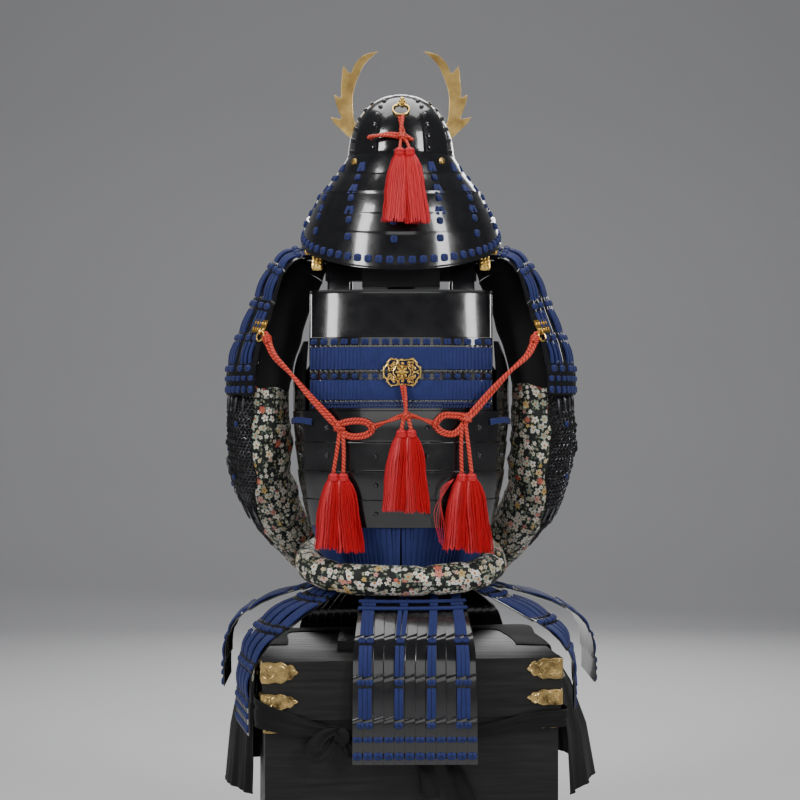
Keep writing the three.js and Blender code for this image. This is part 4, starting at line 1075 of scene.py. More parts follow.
def torso_point(angle, z, offset):
    return rounded(look_up(TORSO, z, 1) + offset, look_up(TORSO, z, 2) + offset, angle, z)


def back_point(x, z, offset):
    half_width = look_up(TORSO, z, 1) + offset
    half_depth = look_up(TORSO, z, 2) + offset
    return Vector((x, -half_depth * (1 - abs(x / half_width) ** ROUND) ** (1 / ROUND), z))


def strap_point(side, u, v, offset):
    x = side * mix(STRAP["inner"], STRAP["outer"], u)
    y = mix(back_point(x, BACK["top"], 2).y, -back_point(x, STRAP["front"], 0).y, v)
    rise = STRAP["arch"] * math.sin(math.pi * v) ** 0.8 if 0 < v < 1 else 0
    z = mix(BACK["top"] + SEAM, STRAP["front"] + SEAM, v) + rise
    turn = math.pi * v
    return Vector((x, y - offset * math.cos(turn), z + offset * math.sin(turn)))


def build_top_plate():
    plate = Piece("back_top_plate_shell", "lacquer")

    def surface(u, v, offset):
        z = mix(BACK["foot"], BACK["top"], v)
        edge = min(u, 1 - u) * 2 * BACK["half"]
        bead = 2.2 * bell(edge, 2.5) + 2.4 * bell(BACK["top"] - z, 3)
        return back_point(mix(-BACK["half"], BACK["half"], u), z, offset + 2 + (bead if offset else 0))

    us = [0, 0.004, 0.01, 0.018] + [0.03 + 0.94 * t for t in steps(36)] + [0.982, 0.99, 0.996, 1]
    plate.wall(surface, us, [0, 0.2, 0.4, 0.6, 0.8, 0.92, 0.96, 0.98, 1], PLATE)
    plate.build("back_top_plate")


# The two laced lames of the back: heights of the plate, its knots and its braids;
# size and squareness of the knots
LACED = (
    {"top": 1157, "foot": 1083, "knot": 1148, "size": 15.5, "band": (1136, 1092), "shape": 3.4},
    {"top": 1083, "foot": 1009, "knot": 1078, "size": 14.5, "band": (1070, 1031), "shape": 1.5},
)
BACK_COUNTS = {"knots": 18, "braids": 50, "scales": 36, "slants": 56}


def build_laced_back():
    half = BACK["half"]
    face = lambda x, z, offset: back_point(x, z, offset + 2)
    out = lambda x, z: (face(x, z, 5) - face(x, z, 0)).normalized()
    for number, lame in enumerate(LACED, 1):
        node = f"back_laced_lame_{number}"
        plate = Piece(f"{node}_plate", "lacquer")
        height = lambda v: mix(lame["foot"], lame["top"] - SEAM, v)
        surface = lambda u, v, offset: face(mix(-half, half, u), height(v), offset)
        plate.wall(surface, steps(48), steps(6), PLATE)
        for z in (lame["knot"] - 11, lame["band"][1] - 5):
            for i in range(BACK_COUNTS["scales"]):
                x = mix(-half, half, (i + 0.5) / BACK_COUNTS["scales"])
                plate.pad(face(x, z, PLATE), out(x, z), UP, 9.4, 11, 2.4, 2.6, 10)
        plate.build(node)
    lacing = Piece("back_lacing", "lacing")
    for lame in LACED:
        for i in range(BACK_COUNTS["knots"]):
            x = mix(-half, half, (i + 0.5) / BACK_COUNTS["knots"])
            seat = face(x, lame["knot"], PLATE + 1.2)
            lacing.pad(seat, out(x, lame["knot"]), UP, lame["size"], 12.5, 3.6, lame["shape"])
        top, foot = lame["band"]
        for i in range(BACK_COUNTS["braids"]):
            x = mix(-half + 3, half - 3, (i + 0.5) / BACK_COUNTS["braids"])
            lean = 0.35 * (1 if i % 2 else -1)
            rows = [(mix(x - lean, x + lean, t), mix(top, foot, t)) for t in steps(5)]
            route = [face(a, z, 3.4 + 2.6 * math.sin(math.pi * t)) for (a, z), t in zip(rows, steps(5))]
            lacing.strip(route, [out(a, z) for a, z in rows], 9.4, 2.6)
    for z, lean in ((1023.5, -0.75), (1016.5, 0.75)):
        for i in range(BACK_COUNTS["slants"]):
            x = mix(-half + 6, half - 6, (i + 0.5) / BACK_COUNTS["slants"])
            lacing.pad(face(x, z, PLATE + 1), out(x, z), Vector((lean, 0, 0.7)), 5, 9, 2.6, 2.4, 8)
    lacing.build()


# The riveted lames below: top and foot, and the heights and places across of their rivets
LAMES = ((1009, 945), (945, 886), (886, 828), (828, 771))
RIVET_ROWS = (973.6, 917, 858, 799.5)
RIVET_PLACES = (-204, -150, -50.6, 52.7, 158, 206)


def stepped(lames, raise_, foot_raise):
    """Rows of (height, raise) for plates that lap: each is proud along its top edge."""
    rows = []
    for top, foot in lames:
        rows += [(top - SEAM, 0.5 * raise_), (top - 1.6, raise_), (top - 5, raise_)]
        rows += [(mix(top, foot, t), mix(raise_, foot_raise, t)) for t in (0.3, 0.6)]
        rows += [(foot + 3, foot_raise), (foot + 0.6, foot_raise)]
    return rows


def build_riveted_shells():
    def plates(name, rows, turn, count):
        """A wall of stepped plates; turn(u, z) is the angle round the torso."""
        piece = Piece(name, "lacquer")

        def surface(u, v, offset):
            z, lift = rows[round(v * (len(rows) - 1))]
            return torso_point(turn(u, z), z, offset + (lift if offset else 0))

        piece.wall(surface, steps(count), steps(len(rows) - 1), PLATE)
        return piece

    back = plates("back_riveted_plates", stepped(LAMES, 2.2, 0.3), lambda u, z: mix(-88, 88, u), 72)
    back.build("back_riveted_shell")
    rivets = Piece("cuirass_rivets", "lacquer")
    for z in RIVET_ROWS:
        for x in RIVET_PLACES:
            if abs(x) < look_up(TORSO, z, 1) - 6:
                place = back_point(x, z, PLATE + 0.8)
                rivets.stud(place, back_point(x, z, 10) - back_point(x, z, 0), 5.4, 0.85)
        for angle in range(108, 253, 24):
            place = torso_point(angle, z, PLATE + 0.5)
            rivets.stud(place, torso_point(angle, z, 10) - place, 4, 0.7)
    rivets.build()
    # Half angle of the front at each height
    reach = ((785, 91), (985, 91), (1060, 78), (1120, 52), (1190, 40))
    lames = ((1060, 1009), *LAMES[:-1], (828, 785))
    rows = stepped(((1190, 1060),), 1.6, 1.6) + stepped(lames, 1.8, 0.3)
    front = plates("front_plates", rows, lambda u, z: 180 + look_up(reach, z, 1) * (1 - 2 * u), 56)
    front.build("front_shell")
    for side, name in SIDES:
        flank = Piece(f"back_flank_plate_{name}", "lacquer")
        edge = ((1009, 88), (1060, 88), (1150, 62))

        def surface(u, v, offset):
            z = mix(1009, 1150, v)
            bead = 1.6 * smooth_step(0.93, 0.99, u) if offset else 0
            return torso_point(side * mix(57, look_up(edge, z, 1), u), z + SEAM, offset + bead)

        flank.wall(surface, steps(16), steps(12), PLATE)
        flank.build(f"back_flank_{name}")
        strap = Piece(f"shoulder_strap_plate_{name}", "lacquer")
        roll = lambda u: 1.4 * bell(min(u, 1 - u), 0.05)
        form = lambda u, v, offset: strap_point(side, u, v, offset + (roll(u) if offset else 0))
        strap.wall(form, [0, 0.03, 0.07, 0.12, 0.3, 0.5, 0.7, 0.88, 0.93, 0.97, 1], steps(40), STRAP["plate"])
        strap.build(f"shoulder_strap_{name}")
        tie = Piece(f"side_tie_braid_{name}", "lacing")
        rows = [(side * mix(48, 84, t), 985 + 4 * math.sin(3 * t)) for t in steps(12)]
        route = [torso_point(a, z, 5.2) for a, z in rows]
        tie.strip(route, [torso_point(a, z, 9) - torso_point(a, z, 0) for a, z in rows], 13, 2.6)
        tie.build(f"side_tie_{name}")


def build_back_fitting():
    """Openwork scrolls round a flower boss: curls of wire inside a lobed outline."""
    centre = Vector((2, -154, 1086))
    half = (36, 27)
    piece = Piece("back_fitting_openwork", "gilt")

    def at(angle, reach):
        swell = reach * (1 + 0.07 * math.cos(6 * angle))
        x = half[0] * swell * power(math.cos(angle), 0.7)
        return centre + Vector((x, -1.2 * (1 - reach), half[1] * swell * power(math.sin(angle), 0.7)))

    for reach, radius in ((0.97, 1.7), (0.46, 1.3)):
        piece.tube([at(TAU * i / 72, reach) for i in range(73)], radius, 7, ends=False)
    for i in range(14):
        angle = TAU * (i + 0.5) / 14
        heart = at(angle, 0.72)
        hand = 1 if i % 2 else -1
        curl = []
        for t in steps(14):
            size, turn = mix(8.0, 2.0, t), angle + hand * (0.6 + 5.2 * t)
            curl.append(heart + REAR * (1.5 * t) + swing(Vector((1, 0, 0)), UP, size, turn))
        piece.tube(curl, 1.25, 6)
        piece.stud(heart + REAR * 1.5, REAR, 2.4, 0.8)
        piece.stud(at(angle, 1.0), REAR, 3.0, 0.8)
    for i in range(8):
        way = swing(Vector((1, 0, 0)), UP, 1, TAU * i / 8)
        piece.pad(centre + way * 9 + REAR * 1.5, REAR, way, 6, 9, 3, 2, 10)
    piece.stud(centre + REAR * 2, REAR, 6.5, 0.8)
    piece.build("back_fitting")


# WAIST LACING AND SASH

# Height, half width and half depth of the lacing at the waist
WAIST = (652, 158, 117)
# Half width and half depth of the sash's loop, radius and girth of the roll,
# height behind and rise to the front
SASH = {"width": 193, "depth": 152, "radius": 31.5, "girth": 195, "back": 667, "rise": 55}
# Each crease of the sash: place round it and depth
SASH_FOLDS = (
    (0.03, 2.4),
    (0.11, 1.6),
    (0.2, 2.6),
    (0.29, 1.8),
    (0.42, 2.2),
    (0.58, 2.0),
    (0.7, 2.7),
    (0.79, 1.7),
    (0.9, 2.3),
)


def build_waist_lacing():
    """Two layers of upright braids, half a braid apart, between the foot of the cuirass and the skirt."""
    swell = 5.3
    inside = lambda z: (z, look_up(TORSO, z, 1) - swell, look_up(TORSO, z, 2) - swell)
    for node, first, last, pinch, top in (
        ("waist_lacing_back", -89, 89, 694, 779),
        ("waist_lacing_front", 92, 268, 758, 792),
    ):
        rows = (WAIST, (pinch, WAIST[1] + 1, WAIST[2] + 1), inside(top))
        piece = Piece(f"{node}_braids", "lacing")

        def place(angle, z, offset):
            return rounded(look_up(rows, z, 1) + offset, look_up(rows, z, 2) + offset, angle, z)

        for layer in (0, 1):
            count = 58
            for i in range(count):
                angle = mix(first, last, (i + 0.5 + 0.5 * layer) / (count + 0.5))
                lean = 0.25 if i % 2 else -0.25
                stations = [(angle + mix(-lean, lean, t), mix(top, WAIST[0] + 2, t)) for t in steps(8)]
                lift = 1.0 + 1.7 * layer
                route = [place(a, z, lift) for a, z in stations]
                out = [place(a, z, 9) - place(a, z, 0) for a, z in stations]
                piece.strip(route, out, 8.6, 1.7)
        piece.build(node)


def build_sash():
    piece = Piece("sash_roll", "brocade")
    count, sides = 180, 24
    rings = []
    for i in range(count):
        t = i / count
        turn = TAU * t
        centre = rounded(SASH["width"], SASH["depth"], math.degrees(turn), 0)
        centre.z = SASH["back"] + SASH["rise"] * (1 - math.cos(turn)) / 2
        out = Vector((math.sin(turn) / SASH["width"], -math.cos(turn) / SASH["depth"], 0)).normalized()
        ring = []
        for k in range(sides):
            a = TAU * k / sides
            slant = t + 0.006 * math.sin(a + 9 * t)
            pinch = sum(1.5 * depth * bell(slant - at, 0.007) for at, depth in SASH_FOLDS)
            pucker = 0.7 * math.sin(a * 3 + 40 * t) + 0.5 * math.sin(71 * t - 2 * a)
            radius = SASH["radius"] - 0.5 - pinch + pucker
            ring.append(centre + swing(0.92 * out, UP, radius, a))
        rings.append(ring)
    rings.append(rings[0])
    run = distances([ring[0] for ring in rings])
    piece.grid(rings, lambda i, j: (run[i] * MM, j / sides * SASH["girth"] * MM), wrap=True)
    knot = Vector((0, SASH["depth"] + 18, SASH["back"] + SASH["rise"] - 2))
    balls = []
    for i in range(13):
        climb = math.pi * (i / 12 - 0.5)
        ring = []
        for k in range(24):
            a = TAU * k / 24
            crease = 1 - 0.09 * abs(math.sin(2.5 * a + 2 * climb))
            x, y = 34 * math.cos(a) * crease, 26 * math.sin(a) * crease
            ring.append(knot + Vector((x * math.cos(climb), y * math.cos(climb), 40 * math.sin(climb))))
        balls.append(ring)
    piece.grid(balls, lambda i, j: (j / 24 * 0.19, i / 12 * 0.12), wrap=True)
    obj = piece.build("sash")


# LACED PANELS OF THE SKIRT AND THE SHOULDERS


# Scales: wall, how far a head stands out, the step to the next one, its slant, and how its top rounds back
SCALE = {"thick": 2.0, "rise": 3.4, "step": 1.7, "slant": 0.09, "round": 0.15, "back": 3.6}
# Braids between two lames: width, distance from middle to middle, height, and where they start and end
BRAID = {"width": 9, "pace": 8.8, "high": 2.8, "from": 0.3, "to": 1.02}
# Knots at the head of each lame: distance in a pair, sizes, height, thickness and place on the lame
KNOT = {"pace": 14.2, "pair": 14, "single": 15.5, "height": 11.5, "thick": 4, "place": 0.16}
# The two closing rows of knots: place in the last lame, and height
FOOT_KNOTS = ((0.44, 11.5), (0.76, 15.5))


def laced_panel(name, surface, lames, scales, columns, width, knot=1.15):
    """Lames of lapping scales, laced together. columns are (middle, braids); width is in mm."""
    plate = Piece(f"{name}_plates", "lacquer")
    lacing = Piece(f"{name}_lacing", "lacing")
    pitch, thick = 1 / lames, SCALE["thick"]
    us = [(k + t) / scales for k in range(scales) for t in (0.02, 0.5, 0.98)]
    # The first lame lies flatter
    rise = lambda n: SCALE["rise"] * (1 if n else 0.3)
    for n in range(lames):

        def scale(u, v, offset):
            saw = (u * scales) % 1
            head = 0.004 - SCALE["slant"] * pitch * saw * (1 - v) if n else 0
            # The head of a scale rounds back towards the lame above
            back = max(0, 1 - v / SCALE["round"])
            lift = rise(n) * (1 - v) + SCALE["step"] * saw - SCALE["back"] * (1 - math.sqrt(1 - back * back))
            place = mix(n * pitch + head, min(1, (n + 1) * pitch + 0.012), v)
            return surface(u, place, offset + lift - (0 if offset else 0.3))

        plate.wall(scale, us, [0, 0.015, 0.04, 0.08, 0.15, 0.4, 0.7, 1], thick)
        # The rounded lacquered edges of the scales catch the light
        for k in range(scales):
            plate.tube([scale((k + t) / scales, 0.05, thick + 0.2) for t in (0.04, 0.5, 0.94)], 0.8, 5)
            plate.tube([scale((k + 0.96) / scales, v, thick + 0.1) for v in (0.05, 0.35, 0.7, 0.97)], 0.7, 5)
    plate.build(name)
    lay = lambda v, n: thick + rise(n) * (1 - (v * lames - n)) + 1.2
    for n in range(lames):
        v = (n + KNOT["place"]) * pitch
        for middle, count in columns:
            knots = 2 if count == 3 else 1
            size = KNOT["pair" if knots == 2 else "single"] * knot
            for k in range(knots):
                u = middle + (k - (knots - 1) / 2) * KNOT["pace"] * knot / width
                place, out = surface(u, v, lay(v, n)), outward(surface, u, v)
                up = upward(surface, u, (n + 0.1) * pitch)
                lacing.pad(place, out, up, size, KNOT["height"] * knot, KNOT["thick"] * knot, 2.6, 14)
            for k in range(count if n < lames - 1 else 0):
                u = middle + (k - (count - 1) / 2) * BRAID["pace"] / width
                rows = [((n + mix(BRAID["from"], BRAID["to"], t)) * pitch, t) for t in steps(5)]
                route = [surface(u, a, lay(a, n) + 3 * math.sin(math.pi * t)) for a, t in rows]
                lacing.strip(route, [outward(surface, u, a) for a, _ in rows], BRAID["width"], BRAID["high"])
    for shift, height in FOOT_KNOTS:
        v = 1 - pitch + shift * pitch
        for k in range(scales):
            u = (k + 0.5) / scales
            place, out = surface(u, v, lay(v, lames - 1)), outward(surface, u, v)
            lacing.pad(place, out, upward(surface, u, v - 0.01), 0.94 * width / scales, height, 4, 2.8)
    lacing.build()


def offset_from(base, within):
    """surface(u, v, offset): base moved along its normal, away from within(v)."""

    def surface(u, v, offset):
        step = 0.004
        across = base(min(1, u + step), v) - base(max(0, u - step), v)
        down = base(u, min(1, v + step)) - base(u, max(0, v - step))
        normal = across.cross(down).normalized()
        p = base(u, v)
        if normal.dot(p - within(u, v)) < 0:
            normal.negate()
        return p + normal * offset

    return surface


# Lacing columns of the panels: middle and number of braids
BACK_COLUMNS = ((0.1, 3), (0.37, 2), (0.63, 2), (0.89, 3))
LEFT_COLUMNS = ((0.12, 3), (0.37, 3), (0.62, 3), (0.87, 3))
RIGHT_COLUMNS = ((0.14, 3), (0.38, 2), (0.62, 2), (0.86, 3))
FRONT_COLUMNS = ((0.14, 3), (0.5, 2), (0.86, 3))
FIVE_COLUMNS = ((0.1, 3), (0.3, 3), (0.5, 3), (0.7, 3), (0.9, 3))
# Each panel: angles at the waist, ends of its foot as x and y, height of the foot, fall, scales, columns, width
PANELS = (
    ("skirt_back", (-24, 45), (-95, -266), (149, -262), 322, "steep", 12, BACK_COLUMNS, 244),
    ("skirt_back_left", (-38, -90), (-296, -238), (-334, -76), 372, "spread", 9, LEFT_COLUMNS, 160),
    ("skirt_side_left", (-94, -136), (-368, -22), (-372, 176), 432, "spread", 10, FIVE_COLUMNS, 190),
    ("skirt_front_left", (-140, -178), (-240, 306), (-8, 320), 330, "steep", 12, FRONT_COLUMNS, 225),
    ("skirt_front_right", (178, 140), (8, 322), (244, 338), 330, "steep", 12, FRONT_COLUMNS, 225),
    ("skirt_side_right", (136, 94), (400, 196), (404, -14), 440, "spread", 10, FIVE_COLUMNS, 195),
    ("skirt_back_right", (90, 54), (352, -78), (340, -210), 420, "spread", 9, RIGHT_COLUMNS, 130),
)
# How far a panel has come out and down at each lame
FALLS = {
    "steep": ((0, 0), (0.12, 0.06), (0.56, 0.2), (0.88, 0.36), (0.95, 0.56), (0.98, 0.77), (1, 1)),
    "spread": ((0, 0), (0.12, 0.06), (0.6, 0.2), (0.88, 0.38), (0.97, 0.58), (0.99, 0.79), (1, 1)),
    "inner": ((0, 0), (0.1, 0.06), (0.44, 0.2), (0.8, 0.38), (0.97, 0.58), (0.99, 0.79), (1, 1)),
}
# The edge of a panel that hangs by the inner fall
INNER_EDGES = {"skirt_back_left": 0, "skirt_back_right": 1}


def build_skirt():
    top = WAIST[0] - 2.2
    for name, angles, first, last, foot, fall, scales, columns, width in PANELS:
        rows = [(share, mix(top, foot, drop)) for share, drop in FALLS[fall]]

        def base(u, v):
            high = rounded(WAIST[1], WAIST[2], mix(*angles, u), 0)
            low = Vector((mix(first[0], last[0], u), mix(first[1], last[1], u), 0))
            share = along(rows, 0, v)
            if name in INNER_EDGES:
                near = 1 - abs(u - INNER_EDGES[name])
                share = mix(share, along(FALLS["inner"], 0, v), near * near)
            p = high.lerp(low, share)
            p.z = along(rows, 1, v)
            return p

        surface = offset_from(base, lambda u, v: Vector((0, 0, mix(foot, 300, v))))
        laced_panel(name, surface, 5, scales, columns, width)
        if name == "skirt_back":
            edging = Piece("skirt_back_edging", "lacing")
            for v, lift in ((0.222, 10.5), (0.262, 10)):
                route = [surface(u, v, lift) for u in steps(40)]
                edging.strip(route, [outward(surface, u, v) for u in steps(40)], 8.5, 2.4)
            edging.build()


# How far out, height, half width, bulge and sag of the shoulder guard from its top to its foot
GUARD = (
    (151, 1325, 50, 0, 8),
    (204, 1343, 82, 10, 24),
    (250, 1330, 98, 24, 26),
    (286, 1280, 108, 40, 20),
    (316, 1208, 114, 54, 12),
    (342, 1150, 118, 62, 4),
    (358, 1095, 120, 66, 0),
    (362, 1040, 120, 66, 0),
)


def guard_surface(side):
    def base(u, v):
        across = 2 * u - 1
        out, z, half, bulge, sag = (along(GUARD, k, v) for k in range(5))
        return Vector((side * (out - bulge * across * across), half * across, z - sag * across * across))

    return offset_from(base, lambda u, v: Vector((side * 150, 0, mix(1240, 1000, v))))


def studs(piece, surface, us, vs, lift, radius):
    """Rows of studs on surface(u, v, offset)."""
    for u in us:
        for v in vs:
            piece.stud(surface(u, v, lift), outward(surface, u, v), radius)


def build_guards():
    for side, name in SIDES:
        surface = guard_surface(side)
        laced_panel(f"shoulder_guard_{name}", surface, 6, 16, FIVE_COLUMNS, 215, 1.22)
        plate = Piece(f"guard_top_fitting_{name}", "gilt")

        def chased(u, v, offset):
            relief = 0.5 * math.sin(14 * u) * math.sin(9 * v)
            return surface(mix(0.03, 0.17, u), mix(0.085, 0.15, v), 7 + offset + relief)

        plate.wall(chased, steps(8), steps(5), 1.6)
        studs(plate, surface, between(0.045, 0.155, 4), between(0.095, 0.14, 2), 8.6, 2.6)
        # Its end bends down over the rear edge
        seat = surface(0.0, 0.08, 3) + Vector((0, -2.5, -9))
        plate.pad(seat, Vector((0, -1, 0.1)), UP, 23, 33, 3, 6, 16)
        for i in (-1, 0, 1):
            for k in (-1, 0, 1):
                plate.stud(seat + Vector((7 * i, -3, 8 * k)), REAR, 2.8)
        plate.build(f"guard_top_plate_{name}")
        ring = Piece(f"guard_ring_fitting_{name}", "gilt")
        base = lambda u, v, offset: surface(mix(0, 0.13, u), mix(0.59, 0.665, v), 6.8 + offset)
        ring.wall(base, steps(6), steps(4), 2)
        studs(ring, surface, between(0.015, 0.115, 4), (0.61, 0.645), 8.8, 3.2)
        seat, out = surface(0.01, 0.685, 10), outward(surface, 0.01, 0.685)
        first = out.cross(UP).normalized()
        ring.tube(ring_route(seat, first, out.cross(first), 10), 2, 9, ends=False)
        ring.tube(ring_route(surface(0.02, 0.662, 9.4), out, UP, 4), 1.6, 7, ends=False)
        ring.build(f"guard_ring_{name}")


build_top_plate()
build_laced_back()
build_riveted_shells()
build_back_fitting()
build_waist_lacing()
build_sash()
build_skirt()
build_guards()


# SLEEVES

# Place, half width and half depth of the sleeve from the shoulder to the cuff
ARM = (
    (207, 6, 1300, 50, 52),
    (244.3, 4, 1228, 56, 62),
    (272.3, 2, 1150, 59, 66),
    (290.3, 2, 1072, 60, 68),
    (298, 6, 1000, 66, 68),
    (297, 18, 930, 66, 66),
    (292, 48, 862, 62, 62),
    (270, 94, 800, 57, 56),
    (241, 140, 744, 51, 50),
    (212, 178, 700, 46, 45),
    (184, 208, 662, 43, 42),
)
# Creases: place along the sleeve, lean, height and width; a fine one also has its place round the sleeve
SLEEVE_FOLDS = (
    (0.16, 0.02, 3.5, 0.03),
    (0.3, -0.03, 3.0, 0.028),
    (0.42, 0.03, 4.5, 0.03),
    (0.52, -0.02, 5.5, 0.026),
    (0.61, 0.04, 5.0, 0.028),
    (0.72, -0.03, 3.6, 0.03),
    (0.84, 0.02, 3.0, 0.03),
)
FINE_FOLDS = (
    (0.24, 0.05, 2.4, 0.012, 0.8),
    (0.33, -0.05, 2.8, 0.011, 1.9),
    (0.37, -0.07, 3.4, 0.012, 2.2),
    (0.41, 0.08, 3.8, 0.011, 1.4),
    (0.45, -0.06, 3.2, 0.01, 2.8),
    (0.47, 0.09, 4.4, 0.012, 4.0),
    (0.5, -0.07, 4.2, 0.01, 1.2),
    (0.53, 0.07, 3.6, 0.011, 2.4),
    (0.56, 0.09, 4.6, 0.012, 5.2),
    (0.585, -0.07, 4.0, 0.01, 2.9),
    (0.62, -0.08, 3.8, 0.011, 1.0),
    (0.65, 0.06, 4.0, 0.012, 0.3),
    (0.68, -0.08, 3.4, 0.01, 4.4),
    (0.73, 0.07, 3.0, 0.011, 2.1),
    (0.78, 0.06, 3.0, 0.012, 1.8),
    (0.84, -0.06, 2.6, 0.011, 2.6),
    (0.9, -0.04, 2.2, 0.012, 3.3),
)
# The widest girth and the length along the middle, in metres
SLEEVE_SIZE = {"girth": 0.42, "length": 0.74}


def sleeve_surface(side, slack):
    def centre(v):
        p = point_at(ARM, v)
        p.x *= side
        return p

    def surface(u, v, offset):
        way = (centre(min(1, v + 0.01)) - centre(max(0, v - 0.01))).normalized()
        across = (Vector((1, 0, 0)) - way * way.x).normalized()
        deep = way.cross(across)
        turn = TAU * u
        folds = 0
        for at, lean, height, width in SLEEVE_FOLDS:
            swell = 0.35 + 0.65 * math.sin(turn + 9 * at) ** 2
            folds += height * swell * bell(v - at - lean * math.cos(turn), width)
        for at, lean, height, width, shift in FINE_FOLDS:
            swell = (0.5 + 0.5 * math.cos(turn - shift)) ** 2
            folds += height * swell * bell(v - at - lean * math.sin(turn + shift), width)
        gather = 0.9 * math.sin(14 * turn) * smooth_step(0.93, 1.0, v)
        half_width, half_depth = along(ARM, 3, v), along(ARM, 4, v)
        out = swing(across / half_width, deep / half_depth, 1, turn).normalized()
        skin = centre(v) + swing(across * half_width, deep * half_depth, 1, turn)
        return skin + out * (offset + folds - slack - 1.5 + gather)

    return surface


def outer_turn(side):
    """Where the outer side of the sleeve is, as u."""
    return 0.0 if side > 0 else 0.5


def mail_half(v):
    """Half the share of the girth that the mail covers; it narrows towards the cuff."""
    return mix(0.23, 0.12, smooth_step(0.55, 0.8, v)) + 0.006 * math.sin(37 * v) + 0.004 * math.sin(83 * v)


MAIL_RINGS = {"radius": 4.2, "wire": 0.75, "rows": 66, "across": 21, "tilt": 0.35}
# Blue ties on the mail: place round from its middle, and place along the sleeve
SLEEVE_TIES = ((0.0, 0.5), (0.14, 0.42), (-0.14, 0.42), (0.0, 0.6), (0.1, 0.56), (-0.1, 0.56))


def dark_cloth(side, name, surface):
    """Plain dark cloth: the ground of the mail and the piece up to the shoulder strap; and a dark band that
    covers the brocade round the top of the sleeve.
    """
    dark = Piece(f"sleeve_dark_cloth_{name}", "cloth")
    outer, inner = outer_turn(side), 0.5 - outer_turn(side)

    # This band covers the brocade round the top of the sleeve and makes it dark
    def shoulder(u, v, offset):
        edge = 0.3 + 0.018 * math.sin(TAU * u + 0.7) + 0.006 * math.sin(5 * TAU * u)
        return surface(u, edge * v, 1.7 + offset)

    def under_mail(u, v, offset):
        place = mix(0.29, 0.8, v)
        return surface(outer + (2 * u - 1) * mail_half(place), place, 1.7 + offset)

    def yoke(u, v, offset):
        strap = Vector((side * mix(150, 212, u), mix(-12, -34, u), mix(1313, 1326, u)))
        p = surface(mix(inner, outer, u), 0.0, 1.7).lerp(strap, v)
        p.y -= 9 * math.sin(math.pi * v) + offset
        p.z += 2 * math.sin(9 * u + 5 * v)
        return p

    dark.wall(shoulder, steps(64)[:-1], steps(40), 0.6, wrap=True, size=(0.4, 0.24))
    dark.wall(under_mail, steps(24), steps(100), 0.6, size=(0.18, 0.4))
    dark.wall(yoke, steps(24), steps(10), 1.0, size=(0.16, 0.06))
    dark.build(smooth=60)


def mail_rings(side, name, surface):
    mail = Piece(f"sleeve_mail_{name}", "lacquer", MAIL)
    for i, v in enumerate(between(0.25, 0.79, MAIL_RINGS["rows"] - 1)):
        half = 0.96 * mail_half(v)
        for k in range(MAIL_RINGS["across"]):
            u = outer_turn(side) + mix(-half, half, (k + 0.5 * (i % 2)) / MAIL_RINGS["across"])
            place = surface(u, v, 3.3)
            out = (surface(u, v, 6) - surface(u, v, 2)).normalized()
            down = (surface(u, v + 0.01, 3.3) - place).normalized()
            second = (down + out * math.copysign(MAIL_RINGS["tilt"], i % 2 - 0.5)).normalized()
            route = ring_route(place, down.cross(out).normalized(), second, MAIL_RINGS["radius"], 8)
            mail.tube(route, MAIL_RINGS["wire"], 3, ends=False)
    mail.build()


def build_sleeves():
    size = (SLEEVE_SIZE["girth"], SLEEVE_SIZE["length"])
    # The flowers of the sleeves are smaller than the sash's
    smaller = (1.3 * size[0], 1.3 * size[1])
    for side, name, slack in ((-1, "left", 3.3), (1, "right", 2.4)):
        surface = sleeve_surface(side, slack)
        sleeve = Piece(f"sleeve_brocade_{name}", "brocade")
        sleeve.wall(surface, steps(64)[:-1], steps(150), 1.6, wrap=True, size=smaller)
        shell = sleeve.build(f"sleeve_{name}", smooth=60)
        binding = f"sleeve_binding_{name}"
        cuff = Piece(binding, "cloth")
        for v in (0.004, 0.996):
            cuff.tube([surface(u, v, 1.0) for u in steps(48)], 2.2, 8, ends=False)
        cuff.build()
        dark_cloth(side, name, surface)
        mail_rings(side, name, surface)

        def pad(piece, turn, v, lift, width, height, squareness):
            u = outer_turn(side) + turn
            out, up = surface(u, v, 6) - surface(u, v, 2), upward(surface, u, v, 0.02, 2)
            piece.pad(surface(u, v, lift), out, up, width, height, 3, squareness, 10)

        splints = Piece(f"sleeve_splints_{name}", "lacquer", MAIL)
        for k in range(-4, 5):
            for v, height in ((0.372, 34), (0.66, 44)):
                pad(splints, k * 0.044, v, 3.6, 7.5, height, 3)
        ties = Piece(f"sleeve_ties_{name}", "lacing")
        for turn, v in SLEEVE_TIES:
            pad(ties, turn, v, 4.6, 10, 12, 2.2)
        splints.build()
        ties.build()


# THIGH GUARD UNDER THE SKIRT

LID = {"half_width": 295, "half_depth": 230, "top": 520, "foot": 405}
# Round the lid, from the back left to the back right: on the lid, at its edge, and at the hem
RIM = (
    (-236, -34, -298, -40, -305, -58, 216),
    (-238, 30, -305, 30, -362, 30, 222),
    (-246, 120, -320, 130, -366, 150, 216),
    (-230, 160, -326, 208, -346, 262, 224),
    (-130, 172, -160, 220, -175, 284, 218),
    (0, 184, 0, 237, 0, 296, 226),
    (130, 196, 150, 252, 168, 312, 218),
    (204, 200, 279, 273, 322, 322, 236),
    (226, 130, 290, 150, 384, 190, 238),
    (238, 40, 303, 40, 402, 46, 232),
    (240, -30, 309, -40, 344, -62, 216),
)
# Place along the cloth, how far out it has come, and how far it has fallen
DROP = (
    (1 / 6, 0, 0),
    (2 / 6, 0.06, 0.03),
    (3 / 6, 0.2, 0.1),
    (4 / 6, 0.55, 0.3),
    (5 / 6, 0.85, 0.62),
    (1, 1, 1),
)
# Flat sizes of the cloth and of the tie, in metres
GUARD_SIZE = (1.43, 0.38)
